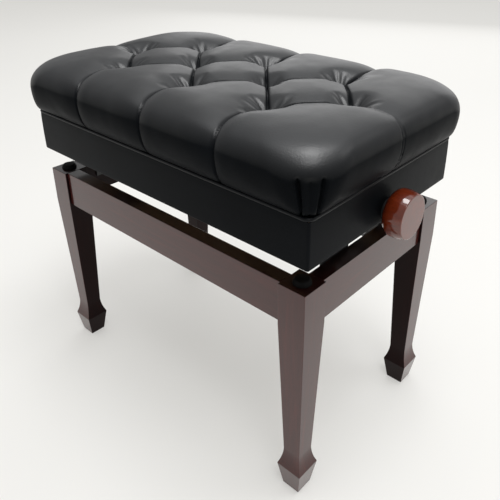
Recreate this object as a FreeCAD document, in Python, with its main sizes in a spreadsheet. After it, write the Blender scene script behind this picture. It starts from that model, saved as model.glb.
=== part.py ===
"""Height-adjustable piano stool: wooden stand, screw-driven scissor lift, tufted seat box.

Frame: origin on the floor under the middle of the stool, +X along its length, +Z up, millimetres.
The seat stands as it does in the photograph, a little above its lowest setting.
"""
import FreeCAD, Part
import math
import os
import re

import Sketcher

# Driving dimensions: alias, value in millimetres, meaning
DIMENSIONS = [
    ("frame_length", 543, "stand, outside of the legs along X"),
    ("frame_width", 320, "stand, outside of the legs along Y"),
    ("leg_height", 340, "floor to the top of a leg"),
    ("leg_side", 41, "square of a leg beside the aprons"),
    ("ankle_side", 27, "square of a leg at its thinnest"),
    ("ankle_height", 68, "floor to the thinnest place"),
    ("knee_side", 39.5, "square at the top of the spade foot"),
    ("knee_height", 39, "floor to the top of the spade foot"),
    ("foot_side", 27, "square on the floor"),
    ("cove_radius", 76, "hollow between ankle and spade foot"),
    ("apron_height", 58, "depth of the aprons"),
    ("apron_thickness", 22, "aprons"),
    ("apron_inset", 4, "apron face behind the leg face"),
    ("tenon_length", 18, "apron tenons"),
    ("tenon_thickness", 8, "apron tenons"),
    ("tenon_height", 40, "apron tenons"),
    ("seat_clearance", 0.05, "all round a tenon, stem, screw or other fixed piece in its hole"),
    ("bumper_diameter", 24, "rubber bumper on a leg"),
    ("bumper_height", 7, "rubber bumper above the leg"),
    ("bumper_shoulder_drop", 0.8, "top of the bumper to its shoulder"),
    ("bumper_shoulder_inset", 3, "bumper's edge to its shoulder"),
    ("bumper_side_radius", 8, "round of the bumper below its shoulder"),
    ("bumper_stem_diameter", 6, "rubber bumper's stem"),
    ("bumper_stem_length", 8, "rubber bumper's stem"),
    ("seat_gap", 36, "leg top to the underside of the seat box"),
    ("box_length", 552, "seat box over its cover"),
    ("box_width", 325, "seat box over its cover"),
    ("border_height", 63, "underside of the box to the seam"),
    ("cover_thickness", 1.5, "leather of the border"),
    ("cover_corner_radius", 3.5, "upright corners of the border"),
    ("cover_edge_radius", 1.2, "lower edge of the border"),
    ("rail_thickness", 18, "rails of the box"),
    ("board_thickness", 12, "seat board"),
    ("corner_block_side", 45, "corner blocks of the box"),
    ("corner_block_height", 22, "corner blocks of the box"),
    ("corner_block_drop", 0.5, "corner blocks below the rails"),
    ("welt_diameter", 5, "piping at the seam"),
    ("welt_corner_radius", 8, "bend of the piping at the corners"),
    ("welt_gap", 0.5, "piping to the foot of the cushion"),
    ("welt_proud", 2, "piping beyond the border"),
    ("cushion_height", 91, "seam to the crown"),
    ("cushion_bulge", 21, "cushion beyond the border"),
    ("cushion_foot", 6, "upright foot of the cushion behind the welt"),
    ("cushion_corner_radius", 16, "corners of the cushion at the seam"),
    ("tuft_pitch", 143.5, "tuft to tuft along a row"),
    ("tuft_row", 78.5, "row to row"),
    ("tuft_depth", 19, "crown to the bottom of a tuft"),
    ("tuft_width", 48, "mouth of a tuft"),
    ("crease_depth", 12, "crown to the bottom of a crease"),
    ("crease_width", 50, "mouth of a crease"),
    ("shoulder_rise", 2, "crease shoulders end this far above the crown"),
    ("pleat_depth", 6, "pleats in the sides"),
    ("pleat_width", 22, "pleats in the sides"),
    ("pleat_start", 10, "seam to the lower end of a pleat"),
    ("bracket_inner", 36, "middle of the stool to the inner face of a bracket's ear"),
    ("bracket_width", 58, "bracket plate"),
    ("bracket_rise", 12, "bracket plate above the leg top"),
    ("bracket_height", 42, "bracket plate"),
    ("bracket_slope", 8, "bracket plate, narrower at its top"),
    ("bracket_steel", 3, "bracket sheet"),
    ("bracket_screw_near", 22, "ear's inner face to the nearer screw"),
    ("bracket_screw_far", 44, "ear's inner face to the farther screw"),
    ("upper_plate_length", 52, "upper bracket along X"),
    ("upper_plate_gap", 4.5, "least gap from an upper bracket to the end rail"),
    ("ear_radius", 12.5, "round end of an ear"),
    ("pivot_setback", 19.5, "apron to the fixed pivots"),
    ("slide_setback", 24.8, "apron to the sliding ends at this height"),
    ("pivot_drop", 14, "lower pivots below the leg top"),
    ("arm_width", 25, "scissor arm"),
    ("arm_thickness", 4, "scissor arm"),
    ("arm_gap", 1, "ear to arm and arm to arm"),
    ("pin_diameter", 10, "pivot pins"),
    ("pin_head_diameter", 16, "pivot pins"),
    ("pin_head_thickness", 3, "pivot pins"),
    ("pin_play", 0.2, "end play under a pin head"),
    ("pivot_clearance", 0.05, "radial, pin in a running pivot"),
    ("open_clearance", 0.6, "radial, centre pins and slots"),
    ("rod_diameter", 10, "cross rods"),
    ("rod_a_distance", 110, "fixed pivot to the cross rod of the lower arms"),
    ("rod_b_setback", 52, "sliding end to the cross rod of the upper arms"),
    ("screw_height", 16.5, "screw axis above the underside of the box"),
    ("screw_diameter", 12, "lead screw"),
    ("nut_side", 22, "trunnion nut"),
    ("nut_clearance", 0.6, "radial, screw in the nut"),
    ("bushing_diameter", 18, "bushing in the end rail"),
    ("bushing_flange_diameter", 28, "bushing flange outside the cover"),
    ("bushing_flange_thickness", 2.5, "bushing flange outside the cover"),
    ("collar_diameter", 22, "stop collar on the screw"),
    ("collar_length", 8, "stop collar on the screw"),
    ("collar_play", 0.5, "stop collar to the bushing"),
    ("knob_gap", 5, "bushing flange to knob"),
    ("knob_length", 30, "knob along its axis"),
    ("knob_diameter", 65, "knob at its widest"),
    ("knob_widest", 12, "back of the knob to its widest place"),
    ("knob_back_step", 10, "edge of the back inside the widest place"),
    ("knob_face_step", 2.5, "rim of the face inside the widest place"),
    ("knob_rim", 1.2, "rounded rim of the face"),
    ("knob_bore_depth", 20, "screw in the knob"),
    ("wood_screw_diameter", 4, "bracket screws"),
    ("wood_screw_length", 10, "bracket screws in the wood"),
    ("wood_screw_head_diameter", 8, "bracket screws"),
    ("wood_screw_head_height", 2.4, "bracket screws"),
    ("travel_down", 29, "seat below this height"),
    ("travel_up", 50, "seat above this height"),
    ("cut_margin", 1, "a cut runs this far past what it opens"),
]

# Places that follow from the driving dimensions
DERIVED = [
    ("leg_x", "(frame_length - leg_side) / 2"),
    ("leg_y", "(frame_width - leg_side) / 2"),
    ("apron_bottom", "leg_height - apron_height"),
    ("apron_inner_x", "frame_length / 2 - apron_inset - apron_thickness"),
    ("apron_inner_y", "frame_width / 2 - apron_inset - apron_thickness"),
    ("box_bottom", "leg_height + seat_gap"),
    ("box_top", "box_bottom + border_height"),
    ("rail_bottom", "box_bottom + cover_thickness"),
    ("board_bottom", "box_top - board_thickness"),
    ("rail_x", "box_length / 2 - cover_thickness"),
    ("rail_y", "box_width / 2 - cover_thickness"),
    ("rail_inner_x", "rail_x - rail_thickness"),
    ("rail_inner_y", "rail_y - rail_thickness"),
    ("lower_pivot_z", "leg_height - pivot_drop"),
    ("screw_z", "box_bottom + screw_height"),
    ("stand_pivot_x", "apron_inner_x - pivot_setback"),
    ("box_pivot_x", "rail_inner_x - upper_plate_gap - upper_plate_length / 2"),
    ("pivot_x", "min(stand_pivot_x; box_pivot_x)"),
    ("slide_x", "pivot_x + pivot_setback - slide_setback"),
    ("arm_rise", "screw_z - lower_pivot_z"),
    ("arm_span", "sqrt((pivot_x + slide_x) ^ 2 + arm_rise ^ 2)"),
    ("slide_high_x", "sqrt(arm_span ^ 2 - (arm_rise + travel_up) ^ 2) - pivot_x"),
    ("slide_low_x", "sqrt(arm_span ^ 2 - (arm_rise - travel_down) ^ 2) - pivot_x"),
    ("ear_outer", "bracket_inner + bracket_steel"),
    ("arm_a_inner", "ear_outer + arm_gap"),
    ("arm_a_outer", "arm_a_inner + arm_thickness"),
    ("arm_b_inner", "arm_a_outer + arm_gap"),
    ("arm_b_outer", "arm_b_inner + arm_thickness"),
    ("bracket_outer", "bracket_inner + bracket_width"),
    ("knob_x", "box_length / 2 + bushing_flange_thickness + knob_gap"),
    ("knob_front_run", "knob_length - knob_rim - knob_widest"),
    ("knob_back_radius", "(knob_widest ^ 2 + knob_back_step ^ 2) / (2 * knob_back_step)"),
    ("knob_front_radius", "(knob_front_run ^ 2 + knob_face_step ^ 2) / (2 * knob_face_step)"),
    ("bumper_shoulder", "bumper_diameter / 2 - bumper_shoulder_inset"),
    ("bumper_top_radius", "(bumper_shoulder ^ 2 + bumper_shoulder_drop ^ 2) / (2 * bumper_shoulder_drop)"),
    ("bracket_screw_z", "leg_height + (bracket_rise - bracket_height) / 2"),
]

# Largest share of a section's half width that the cushion's round corners may take
CORNER_SHARE = 0.95

# Sections of the cushion above its foot: shares of the height and of the bulge, corner in seam radii
CUSHION_SECTIONS = [
    (0, -0.1, 1.2),
    (0.2, 0.66, 2.1),
    (0.46, 1, 3.2),
    (0.7, 0.78, 3.9),
    (0.87, -0.1, 4.2),
    (0.96, -1.6, 4.2),
    (1, -4.2, 4.2),
]

doc = FreeCAD.newDocument("PianoStool")
sheet = doc.addObject("Spreadsheet::Sheet", "Sheet")
Vector = FreeCAD.Vector
NAMES = [entry[0] for entry in DIMENSIONS + DERIVED]
nodes = []


def fill_sheet():
    """Write the driving dimensions and the places derived from them."""
    row = 1
    for alias, size, meaning in DIMENSIONS:
        sheet.set("A%d" % row, alias)
        sheet.set("B%d" % row, str(size))
        sheet.set("C%d" % row, meaning)
        sheet.setAlias("B%d" % row, alias)
        row += 1
    for alias, formula in DERIVED:
        sheet.set("A%d" % row, alias)
        sheet.set("B%d" % row, "=" + formula)
        sheet.setAlias("B%d" % row, alias)
        row += 1
    doc.recompute()


def value(formula):
    """Number that a formula of the sheet's names stands for."""
    return float(sheet.evalExpression(str(formula)))


def bound(formula):
    """The formula as an expression for other objects of the document."""
    def with_sheet(match):
        word = match.group(0)
        return "Sheet." + word if word in NAMES else word
    return re.sub(r"[a-z_]+", with_sheet, str(formula))


def bind(thing, **formulas):
    """Bind properties to formulas. Two underscores stand for a dot in a property's path."""
    for path, formula in formulas.items():
        thing.setExpression(path.replace("__", "."), bound(formula))


def keep(thing, label):
    """Give a finished sub-part its name and list it for writing."""
    thing.Label = label
    nodes.append(thing)
    return thing


# Sketches

def outline_sides(points, arcs):
    """Points and arcs of a closed outline, turned so that it runs anticlockwise."""
    flat = [(value(x), value(y)) for x, y in points]
    count = len(points)
    area = 0
    for (x, y), (next_x, next_y) in zip(flat, flat[1:] + flat[:1]):
        area += x * next_y - next_x * y
    if area > 0:
        return points, dict(arcs)
    return points[::-1], {(count - 2 - side) % count: radius for side, radius in arcs.items()}


def arc_between(first, second, radius):
    """Arc of less than a half circle that swells outwards, or inwards where the radius is negative."""
    start = Vector(first[0], first[1], 0)
    end = Vector(second[0], second[1], 0)
    chord = end - start
    middle = (start + end) * 0.5
    left = Vector(-chord.y, chord.x, 0).normalize()
    offset = math.sqrt(max(radius * radius - chord.Length ** 2 / 4, 0))
    centre = middle + left * (offset if radius > 0 else -offset)
    if radius < 0:
        start, end = end, start
    angles = [math.atan2(point.y - centre.y, point.x - centre.x) for point in (start, end)]
    circle = Part.Circle(centre, Vector(0, 0, 1), abs(radius))
    return Part.ArcOfCircle(circle, angles[0], angles[1])


def pin_point(sketch, side, end, x, y):
    """Fix one end of a side, or a centre, at a place given by two formulas."""
    for kind, formula in (("DistanceX", x), ("DistanceY", y)):
        number = sketch.addConstraint(Sketcher.Constraint(kind, -1, 1, side, end, value(formula)))
        sketch.setExpression("Constraints[%d]" % number, bound(formula))


def add_loop(sketch, points, arcs=None):
    """Closed loop through points given as formulas. arcs gives the radius of the sides that are round."""
    points, arcs = outline_sides(points, arcs or {})
    count = len(points)
    flat = [(value(x), value(y)) for x, y in points]
    first_side = sketch.GeometryCount
    ends = []
    for side in range(count):
        start, end = flat[side], flat[(side + 1) % count]
        if side in arcs:
            radius = value(arcs[side])
            sketch.addGeometry(arc_between(start, end, radius), False)
            ends.append((1, 2) if radius > 0 else (2, 1))
        else:
            sketch.addGeometry(Part.LineSegment(Vector(*start, 0), Vector(*end, 0)), False)
            ends.append((1, 2))
    for side in range(count):
        following = (side + 1) % count
        sketch.addConstraint(Sketcher.Constraint(
            "Coincident", first_side + side, ends[side][1], first_side + following, ends[following][0]))
    for side, (x, y) in enumerate(points):
        pin_point(sketch, first_side + side, ends[side][0], x, y)
    for side, formula in arcs.items():
        number = sketch.addConstraint(Sketcher.Constraint("Radius", first_side + side, abs(value(formula))))
        sketch.setExpression("Constraints[%d]" % number, bound("abs(%s)" % formula))


def add_circle(sketch, x, y, radius):
    """Circle with its centre and radius given as formulas."""
    side = sketch.GeometryCount
    circle = Part.Circle(Vector(value(x), value(y), 0), Vector(0, 0, 1), value(radius))
    sketch.addGeometry(circle, False)
    pin_point(sketch, side, 3, x, y)
    number = sketch.addConstraint(Sketcher.Constraint("Radius", side, value(radius)))
    sketch.setExpression("Constraints[%d]" % number, bound(radius))


def round_ended(x_low, x_high, y, radius):
    """Points and arcs of a straight bar or slot with round ends, each end two quarter circles."""
    points = [
        (x_low, "%s - (%s)" % (y, radius)),
        (x_high, "%s - (%s)" % (y, radius)),
        ("%s + (%s)" % (x_high, radius), y),
        (x_high, "%s + (%s)" % (y, radius)),
        (x_low, "%s + (%s)" % (y, radius)),
        ("%s - (%s)" % (x_low, radius), y),
    ]
    return points, {1: radius, 2: radius, 4: radius, 5: radius}


def rounded_rectangle(half_x, half_y, radius):
    """Points and arcs of a rectangle about the origin with round corners."""
    points = []
    for sign_x, sign_y, along_x in (
            (-1, -1, True), (1, -1, True), (1, -1, False), (1, 1, False),
            (1, 1, True), (-1, 1, True), (-1, 1, False), (-1, -1, False)):
        x_inset, y_inset = (radius, 0) if along_x else (0, radius)
        x = "%d * (%s - %s)" % (sign_x, half_x, x_inset)
        y = "%d * (%s - %s)" % (sign_y, half_y, y_inset)
        points.append((x, y))
    return points, {1: radius, 3: radius, 5: radius, 7: radius}


# Bodies and features

def new_body(name):
    """Empty body at the origin."""
    return doc.addObject("PartDesign::Body", name)


def new_sketch(body, role, offset="0"):
    """Sketch on one of the body's own planes, moved along that plane's normal."""
    sketch = body.newObject("Sketcher::SketchObject", body.Name + "_outline")
    plane = [feature for feature in body.Origin.OriginFeatures if feature.Role == role][0]
    sketch.AttachmentSupport = (plane, [""])
    sketch.MapMode = "FlatFace"
    bind(sketch, AttachmentOffset__Base__z=offset)
    return sketch


def add_pad(body, sketch, length):
    """Pad to both sides of its sketch."""
    pad = body.newObject("PartDesign::Pad", body.Name + "_pad")
    pad.Profile = sketch
    pad.Midplane = True
    bind(pad, Length=length)
    return pad


def add_pocket(body, sketch, length):
    """Pocket to both sides of its sketch, checked to take material away."""
    doc.recompute()
    before = body.Shape.Volume
    pocket = body.newObject("PartDesign::Pocket", body.Name + "_pocket")
    pocket.Profile = sketch
    pocket.Midplane = True
    bind(pocket, Length=length)
    doc.recompute()
    if body.Shape.Volume >= before:
        raise RuntimeError("pocket of %s cuts nothing" % body.Name)
    return pocket


def revolved_body(name, points, arcs=None):
    """Body turned about the X axis from an outline of lengths and radii."""
    body = new_body(name)
    sketch = new_sketch(body, "XY_Plane")
    add_loop(sketch, points, arcs)
    turn = body.newObject("PartDesign::Revolution", name + "_turn")
    turn.Profile = sketch
    axis = [feature for feature in body.Origin.OriginFeatures if feature.Role == "X_Axis"][0]
    turn.ReferenceAxis = (axis, [""])
    turn.Angle = 360
    return body


# Primitives, groups and booleans

def box_between(name, low, high):
    """Box from one corner to the other, each corner three formulas."""
    box = doc.addObject("Part::Box", name)
    lengths = ["(%s) - (%s)" % (top, bottom) for bottom, top in zip(low, high)]
    bind(box, Length=lengths[0], Width=lengths[1], Height=lengths[2])
    bind(box, Placement__Base__x=low[0], Placement__Base__y=low[1], Placement__Base__z=low[2])
    return box


def cut(name, base, tools):
    """Base with the tools taken away one after another."""
    for number, tool in enumerate(tools):
        result = doc.addObject("Part::Cut", "%s_%d" % (name, number))
        result.Base = base
        result.Tool = tool
        base = result
    return base


def fuse(name, base, tool):
    """Base and tool in one solid, with the seams between their faces removed."""
    result = doc.addObject("Part::Fuse", name)
    result.Base = base
    result.Tool = tool
    result.Refine = True
    return result


def group(name, master, placements):
    """Compound of copies of one master, each a separate solid."""
    copies = []
    for placement in placements:
        copy = doc.addObject("App::Link", name + "_copy")
        copy.LinkedObject = master
        copy.Placement = placement
        copies.append(copy)
    compound = doc.addObject("Part::Compound", name)
    compound.Links = copies
    return compound


def place(x, y, z, axis=None, angle=0):
    """Placement from three formulas and a turn."""
    rotation = FreeCAD.Rotation(axis or Vector(0, 0, 1), angle)
    return FreeCAD.Placement(Vector(value(x), value(y), value(z)), rotation)


def corners():
    """Signs of the four corners of the stool, with their names."""
    return [(-1, -1, "front_left"), (1, -1, "front_right"), (-1, 1, "back_left"), (1, 1, "back_right")]


# The stand

def leg_blank(name):
    """Square tapered leg with a spade foot, standing at the origin: two profiles crossed."""
    profile = [
        ("foot_side / 2", "0"),
        ("knee_side / 2", "knee_height"),
        ("ankle_side / 2", "ankle_height"),
        ("leg_side / 2", "apron_bottom"),
        ("leg_side / 2", "leg_height"),
    ]
    mirrored = [("-(%s)" % x, z) for x, z in profile[::-1]]
    cove_sides = {1: "-cove_radius", 7: "-cove_radius"}
    upright = {
        "along_x": FreeCAD.Rotation(Vector(1, 0, 0), 90),
        "along_y": FreeCAD.Rotation(Vector(1, 1, 1), 120),
    }
    slabs = []
    for direction, rotation in upright.items():
        sketch = doc.addObject("Sketcher::SketchObject", "%s_%s" % (name, direction))
        add_loop(sketch, profile + mirrored, cove_sides)
        sketch.Placement = FreeCAD.Placement(Vector(), rotation)
        slab = doc.addObject("Part::Extrusion", "%s_%s_slab" % (name, direction))
        slab.Base = sketch
        slab.DirMode = "Normal"
        slab.Solid = True
        slab.Symmetric = True
        bind(slab, LengthFwd="leg_side")
        slabs.append(slab)
    blank = doc.addObject("Part::Common", name + "_blank")
    blank.Base, blank.Tool = slabs
    return blank


def tenon_middle():
    """Formula for the height of the middle of the tenons."""
    return "leg_height - apron_height / 2"


def mortise(name, sign_x, sign_y, along_x):
    """Slot in a leg for one tenon, seen from the middle of the leg."""
    across = "(leg_side - apron_thickness) / 2 - apron_inset"
    half = "tenon_thickness / 2 + seat_clearance"
    reach = ("leg_side / 2 - tenon_length - seat_clearance", "leg_side / 2 + cut_margin")
    low_z = "%s - tenon_height / 2 - seat_clearance" % tenon_middle()
    high_z = "%s + tenon_height / 2 + seat_clearance" % tenon_middle()

    def span(sign, low, high):
        """Two ends in order, on the side of the leg that the sign names."""
        return ("%s" % low, "%s" % high) if sign > 0 else ("-(%s)" % high, "-(%s)" % low)

    inward = span(-sign_x if along_x else -sign_y, *reach)
    sideways = span(sign_y if along_x else sign_x, "%s - (%s)" % (across, half), "%s + %s" % (across, half))
    x_span, y_span = (inward, sideways) if along_x else (sideways, inward)
    return box_between(name, (x_span[0], y_span[0], low_z), (x_span[1], y_span[1], high_z))


def make_legs():
    """Four legs, each with two mortises and the hole for its bumper."""
    for sign_x, sign_y, corner in corners():
        name = "leg_" + corner
        stem_hole = doc.addObject("Part::Cylinder", name + "_stem_hole")
        bind(stem_hole, Radius="bumper_stem_diameter / 2 + seat_clearance")
        bind(stem_hole, Height="bumper_stem_length + cut_margin")
        bind(stem_hole, Placement__Base__z="leg_height - bumper_stem_length - seat_clearance")
        tools = [
            mortise(name + "_long_mortise", sign_x, sign_y, True),
            mortise(name + "_short_mortise", sign_x, sign_y, False),
            stem_hole,
        ]
        leg = cut(name, leg_blank(name), tools)
        bind(leg, Placement__Base__x="%d * leg_x" % sign_x, Placement__Base__y="%d * leg_y" % sign_y)
        keep(leg, name)


def apron_with_tenons(name, low, high, along_x):
    """Board between two legs with a thinner tongue that runs out at both ends."""
    board = box_between(name + "_board", low, high)
    inset = "(apron_thickness - tenon_thickness) / 2"
    tongue_low = ["%s - tenon_length" % low[0], "%s + %s" % (low[1], inset)]
    tongue_high = ["%s + tenon_length" % high[0], "%s - %s" % (high[1], inset)]
    if not along_x:
        tongue_low = ["%s + %s" % (low[0], inset), "%s - tenon_length" % low[1]]
        tongue_high = ["%s - %s" % (high[0], inset), "%s + tenon_length" % high[1]]
    tongue_low.append("%s - tenon_height / 2" % tenon_middle())
    tongue_high.append("%s + tenon_height / 2" % tenon_middle())
    return fuse(name, board, box_between(name + "_tongue", tongue_low, tongue_high))


def make_aprons():
    """Long aprons at front and back, short ones with pilot holes for the brackets at the ends."""
    for sign, side in ((-1, "front"), (1, "back")):
        inner, outer = "%d * apron_inner_y" % sign, "%d * (apron_inner_y + apron_thickness)" % sign
        low_y, high_y = (outer, inner) if sign < 0 else (inner, outer)
        low = ("leg_side - frame_length / 2", low_y, "apron_bottom")
        high = ("frame_length / 2 - leg_side", high_y, "leg_height")
        keep(apron_with_tenons("apron_" + side, low, high, True), "apron_" + side)
    for sign, side in ((-1, "left"), (1, "right")):
        inner, outer = "%d * apron_inner_x" % sign, "%d * (apron_inner_x + apron_thickness)" % sign
        low_x, high_x = (outer, inner) if sign < 0 else (inner, outer)
        low = (low_x, "leg_side - frame_width / 2", "apron_bottom")
        high = (high_x, "frame_width / 2 - leg_side", "leg_height")
        blank = apron_with_tenons("apron_%s_blank" % side, low, high, False)
        holes = group("apron_%s_holes" % side, pilot_hole, lower_screw_places(sign))
        keep(cut("apron_" + side, blank, [holes]), "apron_" + side)


def make_bumpers():
    """Rubber domes on the legs, each with a stem. The outline is turned about X and stood up."""
    bumper = revolved_body("bumper", [
        ("-bumper_stem_length", "0"),
        ("bumper_height", "0"),
        ("bumper_height - bumper_shoulder_drop", "bumper_shoulder"),
        ("0", "bumper_diameter / 2"),
        ("0", "bumper_stem_diameter / 2"),
        ("-bumper_stem_length", "bumper_stem_diameter / 2"),
    ], {1: "bumper_top_radius", 2: "bumper_side_radius"})
    places = []
    for sign_x, sign_y, _ in corners():
        places.append(place("%d * leg_x" % sign_x, "%d * leg_y" % sign_y, "leg_height", Vector(0, 1, 0), -90))
    keep(group("leg_bumpers", bumper, places), "leg_bumpers")


# Screws that hold the brackets

def screw_offsets():
    """Two places across a bracket plate, from the middle of the stool."""
    return ["bracket_inner + bracket_screw_near", "bracket_inner + bracket_screw_far"]


def lower_screw_places(sign_x):
    """Bracket screws in one end apron: each points outwards from the plate's inner face."""
    plate = "%d * (apron_inner_x - bracket_steel)" % sign_x
    turn = 0 if sign_x > 0 else 180
    places = []
    for sign_y in (-1, 1):
        for offset in screw_offsets():
            y = "%d * (%s)" % (sign_y, offset)
            places.append(place(plate, y, "bracket_screw_z", Vector(0, 0, 1), turn))
    return places


def upper_screw_places():
    """Bracket screws in the seat board: each points up from the plate's underside."""
    places = []
    for middle in ("-pivot_x", "(slide_high_x + slide_low_x) / 2"):
        for sign_y in (-1, 1):
            for offset in screw_offsets():
                y = "%d * (%s)" % (sign_y, offset)
                places.append(place(middle, y, "board_bottom - bracket_steel", Vector(0, 1, 0), -90))
    return places


def make_wood_screws():
    """Pan-head screws of the lower and upper brackets."""
    screw = revolved_body("wood_screw", [
        ("-wood_screw_head_height", "0"),
        ("bracket_steel + wood_screw_length", "0"),
        ("bracket_steel + wood_screw_length - wood_screw_diameter / 2", "wood_screw_diameter / 2"),
        ("0", "wood_screw_diameter / 2"),
        ("0", "wood_screw_head_diameter / 2"),
        ("-wood_screw_head_height", "wood_screw_head_diameter / 4"),
    ], {4: "wood_screw_head_diameter / 2"})
    lower_places = lower_screw_places(-1) + lower_screw_places(1)
    keep(group("lower_bracket_screws", screw, lower_places), "lower_bracket_screws")
    keep(group("upper_bracket_screws", screw, upper_screw_places()), "upper_bracket_screws")


def make_pilot_hole():
    """Hole that a bracket screw fills, from the bracket's face into the wood."""
    hole = doc.addObject("Part::Cylinder", "pilot_hole")
    bind(hole, Radius="wood_screw_diameter / 2 + seat_clearance")
    bind(hole, Height="bracket_steel + wood_screw_length + seat_clearance")
    turned = doc.addObject("Part::Compound", "pilot_hole_along_x")
    hole.Placement = FreeCAD.Placement(Vector(), FreeCAD.Rotation(Vector(0, 1, 0), 90))
    turned.Links = [hole]
    return turned


# Brackets of the lift

def ear_middle(sign_y):
    """Offset of a sketch in the XZ plane, whose normal is -Y, to the middle of an ear."""
    return "%d * (bracket_inner + bracket_steel / 2)" % -sign_y


def add_pivot_or_slot(sketch, sign_x, height):
    """Round hole for a fixed pivot at the left, slot for a sliding end at the right."""
    if sign_x < 0:
        add_circle(sketch, "-pivot_x", height, "pin_diameter / 2 + pivot_clearance")
        return
    radius = "pin_diameter / 2 + open_clearance"
    add_loop(sketch, *round_ended("slide_high_x", "slide_low_x", height, radius))


def ear_ends(sign_x):
    """Formulas for the centres of an ear's round ends, the one nearer the middle of the stool first."""
    if sign_x < 0:
        return "-pivot_x", "-pivot_x"
    return "slide_high_x - open_clearance", "slide_low_x + open_clearance"


def make_lower_brackets():
    """Angle brackets on the end aprons: a plate on the wood and an ear that carries an arm."""
    for sign_x, sign_y, corner in corners():
        name = "lower_bracket_" + corner
        body = new_body(name)
        plate_bottom = "leg_height + bracket_rise - bracket_height"
        plate_top = "leg_height + bracket_rise"
        plate = new_sketch(body, "YZ_Plane", "%d * (apron_inner_x - bracket_steel / 2)" % sign_x)
        add_loop(plate, [
            ("%d * bracket_inner" % sign_y, plate_bottom),
            ("%d * bracket_outer" % sign_y, plate_bottom),
            ("%d * bracket_outer" % sign_y, "leg_height"),
            ("%d * (bracket_outer - bracket_slope)" % sign_y, plate_top),
            ("%d * bracket_inner" % sign_y, plate_top),
        ])
        for offset in screw_offsets():
            y = "%d * (%s)" % (sign_y, offset)
            add_circle(plate, y, "bracket_screw_z", "wood_screw_diameter / 2 + seat_clearance")
        add_pad(body, plate, "bracket_steel")
        ear = new_sketch(body, "XZ_Plane", ear_middle(sign_y))
        tip = ear_ends(sign_x)[0]
        root = "%d * apron_inner_x" % sign_x
        radius = "ear_radius"
        add_loop(ear, [
            (root, "lower_pivot_z - ear_radius"),
            (tip, "lower_pivot_z - ear_radius"),
            ("%s - %d * ear_radius" % (tip, sign_x), "lower_pivot_z"),
            (tip, "lower_pivot_z + ear_radius"),
            (root, "leg_height + bracket_rise / 2"),
        ], {1: radius, 2: radius})
        add_pivot_or_slot(ear, sign_x, "lower_pivot_z")
        add_pad(body, ear, "bracket_steel")
        keep(body, name)


def make_upper_brackets():
    """Angle brackets under the seat board, with ears that hang down to the height of the screw."""
    for sign_x, sign_y, corner in corners():
        name = "upper_bracket_" + corner
        body = new_body(name)
        near, far = ear_ends(sign_x)
        middle = "(%s + %s) / 2" % (near, far)
        plate = new_sketch(body, "XY_Plane", "board_bottom - bracket_steel / 2")
        add_loop(plate, [
            ("%s - upper_plate_length / 2" % middle, "%d * bracket_inner" % sign_y),
            ("%s + upper_plate_length / 2" % middle, "%d * bracket_inner" % sign_y),
            ("%s + upper_plate_length / 2 - bracket_slope" % middle, "%d * bracket_outer" % sign_y),
            ("%s - upper_plate_length / 2 + bracket_slope" % middle, "%d * bracket_outer" % sign_y),
        ])
        screw_x = "-pivot_x" if sign_x < 0 else "(slide_high_x + slide_low_x) / 2"
        for offset in screw_offsets():
            y = "%d * (%s)" % (sign_y, offset)
            add_circle(plate, screw_x, y, "wood_screw_diameter / 2 + seat_clearance")
        add_pad(body, plate, "bracket_steel")
        ear = new_sketch(body, "XZ_Plane", ear_middle(sign_y))
        points = [
            ("%s - upper_plate_length / 2" % middle, "board_bottom"),
            ("%s - ear_radius" % near, "screw_z"),
            (near, "screw_z - ear_radius"),
            (far, "screw_z - ear_radius"),
            ("%s + ear_radius" % far, "screw_z"),
            ("%s + upper_plate_length / 2" % middle, "board_bottom"),
        ]
        arcs = {1: "ear_radius", 3: "ear_radius"}
        if near == far:
            del points[3]
            arcs = {1: "ear_radius", 2: "ear_radius"}
        add_loop(ear, points, arcs)
        add_pivot_or_slot(ear, sign_x, "screw_z")
        add_pad(body, ear, "bracket_steel")
        keep(body, name)


# Scissor arms and their pins

def arm_tilt():
    """Angle of the arms above level at this height, in degrees."""
    return math.degrees(math.asin(value("arm_rise") / value("arm_span")))


def make_arm(name, centre_hole, pivot_z, middle_y, tilt):
    """Flat bar with round ends and three holes, laid along X and then tilted at its fixed pivot."""
    body = new_body(name)
    sketch = new_sketch(body, "XZ_Plane")
    add_loop(sketch, *round_ended("0", "arm_span", "0", "arm_width / 2"))
    for distance, radius in (
            ("0", "pin_diameter / 2 + pivot_clearance"),
            ("arm_span / 2", centre_hole),
            ("arm_span", "pin_diameter / 2 + pivot_clearance")):
        add_circle(sketch, distance, "0", radius)
    add_pad(body, sketch, "arm_thickness")
    body.Placement = place("-pivot_x", middle_y, pivot_z, Vector(0, 1, 0), -tilt)
    keep(body, name)


def make_arms():
    """Lower arms rise from the stand's fixed pivots, upper arms fall from the seat's."""
    for sign_y, side in ((-1, "front"), (1, "back")):
        make_arm("lower_arm_" + side, "pin_diameter / 2 + seat_clearance", "lower_pivot_z",
                 "%d * (arm_a_inner + arm_thickness / 2)" % sign_y, arm_tilt())
        make_arm("upper_arm_" + side, "pin_diameter / 2 + open_clearance", "screw_z",
                 "%d * (arm_b_inner + arm_thickness / 2)" % sign_y, -arm_tilt())


def make_pins(name, inner_head, shank_end, x, z):
    """Pair of headed pins across the front and back arms, mirrored about the middle of the stool."""
    pin = revolved_body(name + "_pin", [
        (inner_head, "0"),
        ("%s + pin_head_thickness" % shank_end, "0"),
        ("%s + pin_head_thickness" % shank_end, "pin_head_diameter / 2"),
        (shank_end, "pin_head_diameter / 2"),
        (shank_end, "pin_diameter / 2"),
        ("%s + pin_head_thickness" % inner_head, "pin_diameter / 2"),
        ("%s + pin_head_thickness" % inner_head, "pin_head_diameter / 2"),
        (inner_head, "pin_head_diameter / 2"),
    ])
    places = [place(x, "0", z, Vector(0, 0, 1), turn) for turn in (-90, 90)]
    keep(group(name, pin, places), name)


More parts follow.
